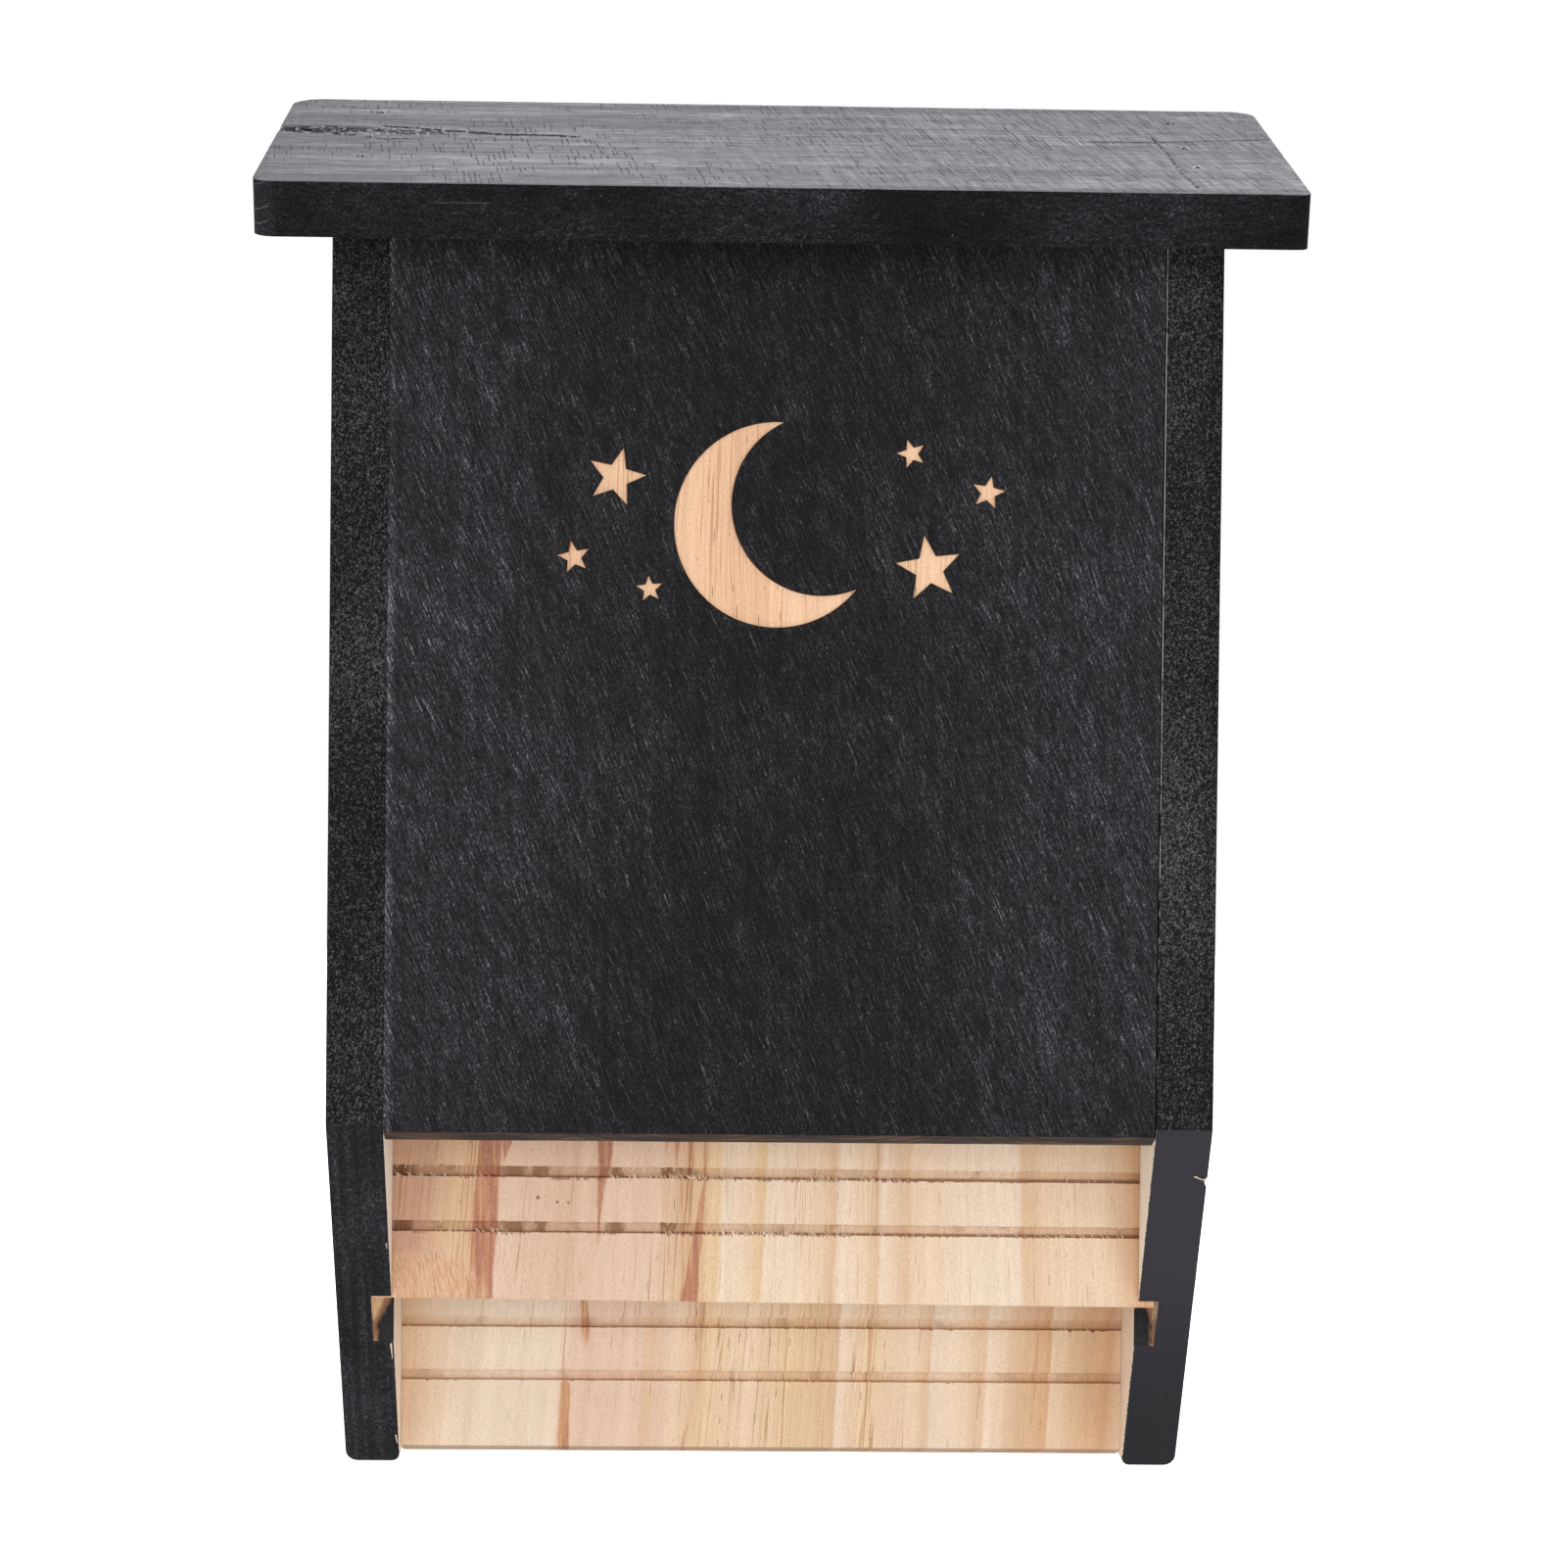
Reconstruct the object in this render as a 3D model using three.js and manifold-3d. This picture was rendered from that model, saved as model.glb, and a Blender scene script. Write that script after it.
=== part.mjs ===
// A wooden bat box with two roosting chambers, to hang on a wall.
// Millimetres. +Z points up, the front looks towards -Y, and the back lies in the plane y = 0.
// The boards are laid out with z = 0 at the feet of the sides, and the whole box is then lowered
// so that the origin lies on the back, halfway up, where the box meets the wall.

import * as THREE from 'three';
import { mergeVertices } from 'three/addons/utils/BufferGeometryUtils.js';
import Module from 'manifold-3d';

// The box
const boxWidth = 232.5;          // over the outer faces of the sides
const boxDepth = 87;             // from the front face to the wall
const frontHeight = 339.2;       // from the feet up to the roof, at the front face
const sideThickness = 15;
const frontThickness = 9.5;
const partitionThickness = 9.5;
const backThickness = 10;
const frontChamber = 27;         // gap between the front board and the partition

// The roof slopes down to the front, and its four edges are cut square
const roofWidth = 268;
const roofThickness = 14.2;
const roofFrontOverhang = 28;    // level distance from the front face to the roof's lower front corner
const roofPitch = THREE.MathUtils.degToRad(18);

// The sides are cut away on a slant below the front board, which shows the landing place
const cutHeight = 102.5;         // where the slanting cut starts, at the front face
const footLength = 13.5;         // level foot that is left at the wall

// How far the boards' lower ends hang below the line that they follow
const frontPanelDrop = 2.1;      // below the start of the slanting cut
const partitionDrop = 0.8;       // below the slanting cut, where it crosses the partition's face
const backPanelLift = 0.6;       // the back board ends this far above the feet
const partitionTopGap = 19;      // way over the partition, from one chamber to the other

// Fits
const roofSeat = 0.3;            // between the roof and what carries it, square to the slope
const panelPlay = 0.25;          // at each end of a board that stands between the sides
const dadoDepth = 5.5;           // groove in the side that houses the partition
const dadoPlay = 0.2;            // between a face of the partition and the dado's wall
const partitionEndPlay = 0.8;    // between an end of the partition and the dado's floor

// Saw kerfs that the bats hold on to
const kerfWidth = 2.8;
const kerfDepth = 2;
const kerfPitch = 15;
const firstKerfHeight = 18.5;    // from a board's lower end up to its first kerf
const kerfTopMargin = 6;         // plain wood that stays above the last kerf

// Brads with a T head and a chisel point
const bradLength = 30;
const bradWidth = 1.25;
const bradThickness = 1;
const bradHeadWidth = 2;
const bradHeadHeight = 0.8;
const bradPointLength = 2.5;
const bradPointWidth = 0.4;
const bradSink = 0.5;            // how far the head is driven below the surface
const bradGap = 0.3;             // round a brad in its hole

// Where the brads go, as shares of the length of the joint that they hold
const roofBradShares = [0.07, 0.37, 0.78];
const frontBradShares = [0.12, 0.5, 0.88];
const partitionBradShares = [0.15, 0.5, 0.85];
const backBradShares = [0.08, 0.36, 0.64, 0.92];

// Keyhole slot in the back: the screw's head goes in at the round end, and the box drops on to it
const keyholeHeadWidth = 11;
const keyholeNeckWidth = 5.5;
const keyholeLip = 4.5;          // thickness of wood that the screw's head hooks behind
const keyholeDepth = 7.5;
const keyholeTravel = 14;        // from the centre of the round end up to the end of the slot
const keyholeDrop = 50;          // from the top of the back board down to the slot's upper end

// Night sky cut into the front board: a moon between stars
const carvingDepth = 0.8;
const carvingWidth = 120;
const carvingHeight = 260;       // its centre, above the feet
const moonRadius = 27;
const moonHollowRadius = 23.5;
const moonHollowOffset = 13;
const moonTilt = THREE.MathUtils.degToRad(24);
const starPoints = 5;
const starWaistShare = 0.42;     // radius at a star's inner corners, as a share of its outer radius

// Each star's place and radius as shares of the carving's width, and its turn in radians
const starShares = [
  { across: -0.44, up: -0.075, radius: 0.042, turn: 0.2 },
  { across: -0.35, up: 0.1, radius: 0.071, turn: -0.25 },
  { across: -0.275, up: -0.142, radius: 0.035, turn: 0.1 },
  { across: 0.292, up: 0.158, radius: 0.038, turn: 0.3 },
  { across: 0.333, up: -0.092, radius: 0.079, turn: 0.15 },
  { across: 0.46, up: 0.075, radius: 0.043, turn: -0.2 },
];

const cutOverrun = 2;            // how far a cutting shape runs past the face that it cuts
const arcSteps = 32;
const holeSteps = 20;

// Sizes that follow from those above
const innerHalfWidth = boxWidth / 2 - sideThickness;
const roofRise = Math.tan(roofPitch);
const frontY = -boxDepth;
const frontPanelRearY = frontY + frontThickness;
const partitionFrontY = frontPanelRearY + frontChamber;
const partitionRearY = partitionFrontY + partitionThickness;
const backPanelFrontY = -backThickness;
const cutRun = boxDepth - footLength;
const wallPointHeight = frontHeight / 2;

// Height of the slanting cut, of the roof's underside and of the boards' tops at a depth y
const cutHeightAt = (y) => cutHeight * (1 - (y - frontY) / cutRun);
const roofUndersideAt = (y) => frontHeight + (y - frontY) * roofRise;
const boardTopAt = (y) => roofUndersideAt(y) - roofSeat / Math.cos(roofPitch);

const wasm = await Module();
wasm.setup();

function toSolid(geometry) {
  const bare = geometry.clone();
  bare.deleteAttribute('normal');
  bare.deleteAttribute('uv');
  const merged = mergeVertices(bare);
  return new wasm.Manifold(new wasm.Mesh({
    numProp: 3,
    vertProperties: new Float32Array(merged.attributes.position.array),
    triVerts: new Uint32Array(merged.index.array),
  }));
}

function toGeometry(solid) {
  const mesh = solid.getMesh();
  const geometry = new THREE.BufferGeometry();
  geometry.setAttribute('position', new THREE.BufferAttribute(mesh.vertProperties, 3));
  geometry.setIndex(new THREE.BufferAttribute(mesh.triVerts, 1));
  geometry.computeVertexNormals();
  return geometry;
}

// The board with every cutting shape taken out of it
function cut(board, cutters) {
  const solid = cutters.reduce((rest, cutter) => rest.subtract(toSolid(cutter)), toSolid(board));
  return toGeometry(solid);
}

// An outline of [x, y] corners, pushed along z from low to high
function prism(shape, low, high, steps = arcSteps) {
  const geometry = new THREE.ExtrudeGeometry(shape, {
    depth: high - low, bevelEnabled: false, curveSegments: steps,
  });
  return geometry.translate(0, 0, low);
}

const outline = (corners) => new THREE.Shape(corners.map(([x, y]) => new THREE.Vector2(x, y)));

// A board whose side view is a list of [y, z] corners, reaching from x = low to x = high
function crossBoard(corners, low, high) {
  const turn = new THREE.Matrix4().makeBasis(
    new THREE.Vector3(0, 1, 0), new THREE.Vector3(0, 0, 1), new THREE.Vector3(1, 0, 0));
  return prism(outline(corners), low, high).applyMatrix4(turn);
}

// A shape drawn in front view, [x, z], reaching from y = low to y = high
function frontShape(shape, low, high, steps) {
  return prism(shape, -high, -low, steps).rotateX(Math.PI / 2);
}

// Brad: the head's top lies at the origin and the brad points down. Grown by a gap, it is its hole.
function bradOutline(gap) {
  const shank = bradWidth / 2 + gap;
  const head = bradHeadWidth / 2 + gap;
  const point = bradPointWidth / 2 + gap;
  const mouth = gap > 0 ? bradSink + cutOverrun : 0;
  const shoulder = -bradHeadHeight - gap;
  const taperStart = -bradLength + bradPointLength;
  return outline([
    [-head, mouth], [-head, shoulder], [-shank, shoulder], [-shank, taperStart],
    [-point, -bradLength - gap], [point, -bradLength - gap], [shank, taperStart],
    [shank, shoulder], [head, shoulder], [head, mouth],
  ]);
}

function bradGeometry(gap = 0) {
  const half = bradThickness / 2 + gap;
  return frontShape(bradOutline(gap), -half, half);
}

// Where each brad's head lies, and how the brad is turned. A sign of -1 is the left side, 1 the right.
function sideBradPlace(sign, y, z) {
  return new THREE.Matrix4()
    .makeRotationY(sign * Math.PI / 2)
    .setPosition(sign * (boxWidth / 2 - bradSink), y, z);
}

function roofBradPlace(sign, share) {
  const y = frontY * (1 - share);
  const lift = roofThickness - bradSink;
  return new THREE.Matrix4()
    .makeRotationX(roofPitch)
    .setPosition(
      sign * (boxWidth - sideThickness) / 2,
      y - lift * Math.sin(roofPitch),
      roofUndersideAt(y) + lift * Math.cos(roofPitch));
}

// The joints that brads hold, each with the depth and the heights between which its brads stand
const frontPanelFoot = cutHeight - frontPanelDrop;
const partitionFoot = cutHeightAt(partitionFrontY) - partitionDrop;
const partitionTop = roofUndersideAt(partitionFrontY) - partitionTopGap;
const backPanelFoot = backPanelLift;

const joints = [
  {
    name: 'front', y: (frontY + frontPanelRearY) / 2,
    low: frontPanelFoot, high: boardTopAt(frontY), shares: frontBradShares,
  },
  {
    name: 'partition', y: (partitionFrontY + partitionRearY) / 2,
    low: partitionFoot, high: partitionTop, shares: partitionBradShares,
  },
  {
    name: 'back', y: backPanelFrontY / 2,
    low: backPanelFoot, high: boardTopAt(backPanelFrontY), shares: backBradShares,
  },
];

const hands = [{ name: 'left', sign: -1 }, { name: 'right', sign: 1 }];

const sideBrads = joints.flatMap((joint) => hands.flatMap((hand) => joint.shares.map((share, index) => ({
  name: `brad_${joint.name}_${hand.name}_${index + 1}`,
  joint: joint.name,
  sign: hand.sign,
  place: sideBradPlace(hand.sign, joint.y, THREE.MathUtils.lerp(joint.low, joint.high, share)),
}))));

const roofBrads = hands.flatMap((hand) => roofBradShares.map((share, index) => ({
  name: `brad_roof_${hand.name}_${index + 1}`,
  joint: 'roof',
  sign: hand.sign,
  place: roofBradPlace(hand.sign, share),
})));

const brads = [...roofBrads, ...sideBrads];
const bradHoles = (wanted) => brads.filter(wanted).map((brad) => bradGeometry(bradGap).applyMatrix4(brad.place));

// Roof board, drawn in side view from its lower rear corner at the wall
function roofGeometry() {
  const rear = new THREE.Vector2(0, roofUndersideAt(0));
  const front = new THREE.Vector2(frontY - roofFrontOverhang, roofUndersideAt(frontY - roofFrontOverhang));
  const up = new THREE.Vector2(-Math.sin(roofPitch), Math.cos(roofPitch)).multiplyScalar(roofThickness);
  const corners = [rear, rear.clone().add(up), front.clone().add(up), front];
  const board = crossBoard(corners.map((corner) => corner.toArray()), -roofWidth / 2, roofWidth / 2);
  return cut(board, bradHoles((brad) => brad.joint === 'roof'));
}

// Side board with the slanting cut in front, and the dado for the partition in its inner face
function sideGeometry(sign) {
  const outer = boxWidth / 2;
  const corners = [
    [frontY, cutHeight], [-footLength, 0], [0, 0], [0, boardTopAt(0)], [frontY, boardTopAt(frontY)],
  ];
  const board = crossBoard(corners, ...(sign < 0 ? [-outer, -innerHalfWidth] : [innerHalfWidth, outer]));
  const floor = sign * (innerHalfWidth + dadoDepth);
  const mouth = sign * (innerHalfWidth - cutOverrun);
  const dadoFrontY = partitionFrontY - dadoPlay;
  const dadoRearY = partitionRearY + dadoPlay;
  const dado = crossBoard([
    [dadoFrontY, -cutOverrun], [dadoRearY, -cutOverrun],
    [dadoRearY, boardTopAt(0) + cutOverrun], [dadoFrontY, boardTopAt(0) + cutOverrun],
  ], Math.min(floor, mouth), Math.max(floor, mouth));
  return cut(board, [dado, ...bradHoles((brad) => brad.sign === sign)]);
}

// Front board, with its top cut to the roof's slope and its lower end to the same saw tilt
function frontPanelGeometry() {
  const half = innerHalfWidth - panelPlay;
  const board = crossBoard([
    [frontY, frontPanelFoot],
    [frontPanelRearY, frontPanelFoot - frontThickness * roofRise],
    [frontPanelRearY, boardTopAt(frontPanelRearY)],
    [frontY, boardTopAt(frontY)],
  ], -half, half);
  return cut(board, [...carving(), ...bradHoles((brad) => brad.joint === 'front')]);
}

// Kerfs in a board's front face, as the notches in its side view, from the top one down
function kerfNotches(faceY, foot, top) {
  const notches = [];
  const first = foot + firstKerfHeight;
  for (let low = first; low + kerfWidth + kerfTopMargin < top; low += kerfPitch) {
    notches.unshift(
      [faceY, low + kerfWidth], [faceY + kerfDepth, low + kerfWidth],
      [faceY + kerfDepth, low], [faceY, low]);
  }
  return notches;
}

// Partition, housed in the dados, with a way left over its top
function partitionGeometry() {
  const half = innerHalfWidth + dadoDepth - partitionEndPlay;
  const board = crossBoard([
    [partitionFrontY, partitionFoot], [partitionRearY, partitionFoot],
    [partitionRearY, partitionTop], [partitionFrontY, partitionTop],
    ...kerfNotches(partitionFrontY, partitionFoot, partitionTop),
  ], -half, half);
  return cut(board, bradHoles((brad) => brad.joint === 'partition'));
}

// Back board, whose lower end is the landing place, with the keyhole slot in its rear face
function backPanelGeometry() {
  const half = innerHalfWidth - panelPlay;
  const foot = backPanelFoot + backThickness * roofRise;
  const board = crossBoard([
    [backPanelFrontY, foot], [0, backPanelFoot],
    [0, boardTopAt(0)], [backPanelFrontY, boardTopAt(backPanelFrontY)],
    ...kerfNotches(backPanelFrontY, foot, boardTopAt(backPanelFrontY)),
  ], -half, half);
  return cut(board, [...keyhole(), ...bradHoles((brad) => brad.joint === 'back')]);
}

// Slot with round ends, standing upright in front view
function slotShape(width, low, high) {
  const shape = new THREE.Shape();
  shape.absarc(0, high, width / 2, 0, Math.PI, false);
  shape.absarc(0, low, width / 2, Math.PI, 2 * Math.PI, false);
  return shape;
}

function keyhole() {
  const slotEnd = boardTopAt(0) - keyholeDrop - keyholeHeadWidth / 2;
  const entry = slotEnd - keyholeTravel;
  const round = new THREE.Shape().absarc(0, entry, keyholeHeadWidth / 2, 0, 2 * Math.PI, false);
  return [
    frontShape(round, -keyholeDepth, cutOverrun, holeSteps),
    frontShape(slotShape(keyholeNeckWidth, entry, slotEnd), -keyholeDepth, cutOverrun, holeSteps),
    frontShape(slotShape(keyholeHeadWidth, entry, slotEnd), -keyholeDepth, -keyholeLip, holeSteps),
  ];
}

// Crescent: what a large circle keeps when a smaller one, set to one side, is taken away
function moonShape() {
  const reach = moonHollowOffset;
  const outerAngle = Math.acos((reach ** 2 + moonRadius ** 2 - moonHollowRadius ** 2) / (2 * reach * moonRadius));
  const hollowAngle = Math.PI - Math.acos(
    (reach ** 2 + moonHollowRadius ** 2 - moonRadius ** 2) / (2 * reach * moonHollowRadius));
  const shape = new THREE.Shape();
  shape.absarc(0, 0, moonRadius, moonTilt + outerAngle, moonTilt + 2 * Math.PI - outerAngle, false);
  shape.absarc(
    reach * Math.cos(moonTilt), reach * Math.sin(moonTilt), moonHollowRadius,
    moonTilt + 2 * Math.PI - hollowAngle, moonTilt + hollowAngle, true);
  return shape;
}

function starShape({ across, up, radius, turn }) {
  const corners = [];
  for (let corner = 0; corner < 2 * starPoints; corner += 1) {
    const angle = turn + Math.PI / 2 + corner * Math.PI / starPoints;
    const reach = corner % 2 ? radius * starWaistShare : radius;
    corners.push([
      carvingWidth * (across + reach * Math.cos(angle)),
      carvingWidth * (up + reach * Math.sin(angle)),
    ]);
  }
  return outline(corners);
}

function carving() {
  return [moonShape(), ...starShares.map(starShape)].map((shape) => (
    frontShape(shape, frontY - cutOverrun, frontY + carvingDepth).translate(0, 0, carvingHeight)));
}

// Finishes
const finish = (color, roughness, metalness) => (
  new THREE.MeshStandardMaterial({ color, roughness, metalness, flatShading: true }));
const blackStain = finish(0x29282c, 0.62, 0);
const roofStain = finish(0x3a393e, 0.55, 0);
const pine = finish(0xe3c29a, 0.68, 0);
const steel = finish(0x8c8c8c, 0.4, 1);

const box = new THREE.Group();
box.position.z = -wallPointHeight;

function addPiece(name, geometry, material, place) {
  const piece = new THREE.Mesh(geometry, material);
  piece.name = name;
  if (place) piece.applyMatrix4(place);
  box.add(piece);
}

addPiece('roof', roofGeometry(), roofStain);
addPiece('side_left', sideGeometry(-1), blackStain);
addPiece('side_right', sideGeometry(1), blackStain);
addPiece('front_panel', frontPanelGeometry(), blackStain);
addPiece('partition', partitionGeometry(), pine);
addPiece('back_panel', backPanelGeometry(), pine);
brads.forEach((brad) => addPiece(brad.name, bradGeometry(), steel, brad.place));

const batBox = new THREE.Group();
batBox.add(box);

export default batBox;
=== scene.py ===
# %% [markdown]
# # A bat box of stained pine
# The box hangs on a wall. Its roof slopes down to the front, a black front board stands between
# two black sides, and two bare pine boards with saw kerfs hang lower, where the bats land.
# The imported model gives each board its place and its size, and this script gives it its looks.

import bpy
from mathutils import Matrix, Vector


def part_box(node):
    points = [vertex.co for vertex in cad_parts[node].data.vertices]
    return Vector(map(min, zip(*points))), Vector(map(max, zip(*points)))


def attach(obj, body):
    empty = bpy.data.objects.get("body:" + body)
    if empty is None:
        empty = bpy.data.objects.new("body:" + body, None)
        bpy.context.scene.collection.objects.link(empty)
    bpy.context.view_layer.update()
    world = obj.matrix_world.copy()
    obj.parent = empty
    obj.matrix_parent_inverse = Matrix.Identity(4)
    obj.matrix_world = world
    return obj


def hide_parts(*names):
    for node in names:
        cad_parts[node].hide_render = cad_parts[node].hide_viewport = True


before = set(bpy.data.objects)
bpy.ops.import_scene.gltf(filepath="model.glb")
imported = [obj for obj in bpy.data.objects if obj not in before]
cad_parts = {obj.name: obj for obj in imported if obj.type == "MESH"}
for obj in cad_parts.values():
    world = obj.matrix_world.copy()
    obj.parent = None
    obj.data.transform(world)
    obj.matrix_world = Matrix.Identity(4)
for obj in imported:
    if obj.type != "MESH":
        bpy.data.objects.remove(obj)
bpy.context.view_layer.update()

# %% [markdown]
# ## Units and the driving sizes
# Blender works in metres and a joiner in millimetres, so each size is written in millimetres and
# multiplied by MM. Overall sizes are read from the frame. Only what a box can't tell is named here.

# %% Units and driving sizes
import math
import random
from functools import partialmethod

import bmesh
import bpy
from mathutils import Matrix, Vector, noise

MM = 0.001
roof_pitch = math.radians(18)
cut_height = 102.5 * MM
foot_length = 13.5 * MM
dado_depth = 5.5 * MM
dado_play = 0.2 * MM
kerf_width = 2.8 * MM
kerf_depth = 2 * MM
kerf_pitch = 15 * MM
first_kerf = 18.5 * MM
kerf_top_margin = 6 * MM
overrun = 2 * MM
# Two places less than this apart count as one
hair = 0.01 * MM

side_low, side_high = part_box("side_right")
front_low, front_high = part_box("front_panel")
partition_low, partition_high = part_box("partition")
back_low, back_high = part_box("back_panel")
# The boards between the sides fill most of their play, because the joints look shut in the photo
tight = Vector((0.2, 0, 0)) * MM
feet = side_low.z
print("the feet are %.1f mm below the wall point" % (-feet / MM))

# %% [markdown]
# ## The camera
# The photograph looks almost straight at the front, from a little above the middle and from far
# away, so the upright edges stay nearly parallel and the roof's top is seen at a low angle.
# The place and the turns were found by fitting the box's corners to the picture.

# %% Camera
photo_side = 1601
focal_pixels = 4100
camera_place = Vector((-22.65, -1135.5, 47.87)) * MM
camera_yaw = math.radians(1.38)
camera_pitch = math.radians(-1.37)
camera_roll = math.radians(0.61)


def look_from(place, yaw, pitch, roll):
    """The camera's matrix: it looks along +Y, turned by yaw to the right and by pitch upwards."""
    ahead = Vector((
        math.sin(yaw) * math.cos(pitch), math.cos(yaw) * math.cos(pitch), math.sin(pitch)))
    across = Vector((math.cos(yaw), -math.sin(yaw), 0))
    turn = Matrix((across, across.cross(ahead), -ahead)).transposed()
    turn = turn @ Matrix.Rotation(roll, 3, "Z")
    return Matrix.Translation(place) @ turn.to_4x4()


camera_data = bpy.data.cameras.new("camera")
camera_data.lens = camera_data.sensor_width * focal_pixels / photo_side
camera = bpy.data.objects.new("camera", camera_data)
camera.matrix_world = look_from(camera_place, camera_yaw, camera_pitch, camera_roll)
bpy.context.scene.collection.objects.link(camera)
bpy.context.scene.camera = camera
print("lens of %.1f mm" % camera_data.lens)

# %% [markdown]
# ## Building a finish from nodes
# Each finish is a tree of nodes that reads Object coordinates, so it keeps to the board when the
# camera moves. The small class below writes a tree in the order in which a painter would think:
# where we are on the board, in millimetres, then a pattern, then what the pattern does.


# %% Finish helper
def to_linear(red, green, blue):
    """A colour as a screen shows it, 0 to 255, turned into the light values that nodes use."""
    shares = [value / 255 for value in (red, green, blue)]
    return tuple(s / 12.92 if s <= 0.04045 else ((s + 0.055) / 1.055) ** 2.4 for s in shares) + (1,)


class Finish:
    """A node material under construction. Its skin is the shader that it ends in."""

    def __init__(self, name, skin="ShaderNodeBsdfPrincipled"):
        self.material = bpy.data.materials.new(name)
        self.material.use_nodes = True
        self.tree = self.material.node_tree
        self.tree.nodes.clear()
        output = self.tree.nodes.new("ShaderNodeOutputMaterial")
        self.skin = self.tree.nodes.new(skin)
        self.tree.links.new(self.skin.outputs[0], output.inputs[0])
        self.place = self.tree.nodes.new("ShaderNodeTexCoord").outputs["Object"]
        millimetres = self.vector("SCALE", self.place, scale=1 / MM)
        parts = self.node("ShaderNodeSeparateXYZ", millimetres)
        self.x, self.y, self.z = parts.outputs

    def node(self, kind, *values, **settings):
        """A new node: values go to its inputs in order, a None is left as it is."""
        made = self.tree.nodes.new(kind)
        for setting, value in settings.items():
            setattr(made, setting, value)
        for socket, value in zip(made.inputs, values):
            self.plug(socket, value)
        return made

    def coat(self, sockets):
        """Sets sockets of the skin by their names."""
        for name, value in sockets.items():
            self.plug(self.skin.inputs[name], value)

    def plug(self, socket, value):
        if isinstance(value, bpy.types.NodeSocket):
            self.tree.links.new(value, socket)
        elif value is not None:
            socket.default_value = value

    def math(self, operation, *values):
        return self.node("ShaderNodeMath", *values, operation=operation).outputs[0]

    times = partialmethod(math, "MULTIPLY")
    plus = partialmethod(math, "ADD")
    minus = partialmethod(math, "SUBTRACT")
    over = partialmethod(math, "DIVIDE")
    most = partialmethod(math, "MAXIMUM")
    times_plus = partialmethod(math, "MULTIPLY_ADD")
    size = partialmethod(math, "ABSOLUTE")

    def away(self, a, b):
        """How far a lies from b."""
        return self.size(self.minus(a, b))

    def vector(self, operation, a, b=None, scale=None):
        made = self.node("ShaderNodeVectorMath", a, b, operation=operation)
        if scale is not None:
            self.plug(made.inputs["Scale"], scale)
        return made.outputs[0]

    def sum(self, start, *weighted):
        """Start plus each value's distance from one half times its weight."""
        total = start
        for value, weight in weighted:
            total = self.times_plus(self.minus(value, 0.5), weight, total)
        return total

    def length(self, vector):
        return self.node("ShaderNodeVectorMath", vector, operation="LENGTH").outputs["Value"]

    def point(self, x, y, z=0.0):
        return self.node("ShaderNodeCombineXYZ", x, y, z).outputs[0]

    def noise(self, point, detail, rough=0.5):
        """Noise with about one grain to each unit that the point moves."""
        made = self.node("ShaderNodeTexNoise")
        for name, value in (
            ("Vector", point), ("Scale", 1.0), ("Detail", detail), ("Roughness", rough)
        ):
            self.plug(made.inputs[name], value)
        return made.outputs["Fac"]

    def mist(self, scale, detail):
        """Noise that is alike in all directions, with so many grains to a mm."""
        here = self.point(self.x, self.y, self.z)
        return self.noise(self.vector("SCALE", here, scale=scale), detail)

    def drawn(self, across, along, seed, fine, long, detail, rough=0.5):
        """Noise drawn out along the grain, with so many grains to a mm across and along it."""
        return self.noise(
            self.point(self.times(across, fine), seed, self.times(along, long)), detail, rough)

    def span(self, value, low, high, to_low=0.0, to_high=1.0, smooth=True):
        """Value going from low to high becomes to_low to to_high, and stops there."""
        made = self.node("ShaderNodeMapRange", value, low, high, to_low, to_high)
        made.interpolation_type = "SMOOTHSTEP" if smooth else "LINEAR"
        return made.outputs[0]

    def fall(self, value, low, high):
        """1 below low, going down to 0 at high."""
        return self.span(value, low, high, 1.0, 0.0)

    def ramp(self, value, stops):
        made = self.node("ShaderNodeValToRGB", value)
        elements = made.color_ramp.elements
        while len(elements) < len(stops):
            elements.new(1)
        for element, (place, colour) in zip(elements, stops):
            element.position = place
            element.color = colour
        return made.outputs[0]

    def blend(self, share, a, b, mode="MIX"):
        made = self.node("ShaderNodeMix", data_type="RGBA", blend_type=mode)
        self.plug(made.inputs[0], share)
        self.plug(made.inputs[6], a)
        self.plug(made.inputs[7], b)
        return made.outputs[2]

    def tinted(self, colour, tint):
        return self.blend(1.0, colour, tint, "MULTIPLY")

    def bump(self, height, depth, under=None):
        """Relief from a 0 to 1 height, its depth in metres, on top of another relief."""
        made = self.node("ShaderNodeBump")
        self.plug(made.inputs["Height"], height)
        made.inputs["Distance"].default_value = depth
        self.plug(made.inputs["Normal"], under)
        return made.outputs[0]

    def ticks(self, across, along, width, length, room, seed, share):
        """Strokes scattered at random, 1 inside and 0 outside: sizes in mm, a share of them kept."""
        wide, tall = room
        cells = self.point(
            self.over(self.plus(across, seed * wide), wide),
            self.over(self.plus(along, seed * tall), tall))
        spots = self.node("ShaderNodeTexVoronoi", voronoi_dimensions="2D")
        self.plug(spots.inputs["Vector"], cells)
        spots.inputs["Scale"].default_value = 1.0
        away = self.node("ShaderNodeSeparateXYZ", self.vector(
            "SUBTRACT", cells, spots.outputs["Position"]))
        chance = self.node("ShaderNodeSeparateColor", spots.outputs["Color"])
        sideways = self.times(self.size(away.outputs[0]), wide)
        lengthways = self.times(self.size(away.outputs[1]), tall)
        reach = self.times(chance.outputs[0], length / 2)
        body = self.fall(sideways, 0.0, width / 2)
        ends = self.fall(self.minus(lengthways, reach), -length / 4, 0.0)
        kept = self.math("LESS_THAN", chance.outputs[1], share)
        return self.times(kept, self.times(body, ends))


print("finish helper ready")

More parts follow.
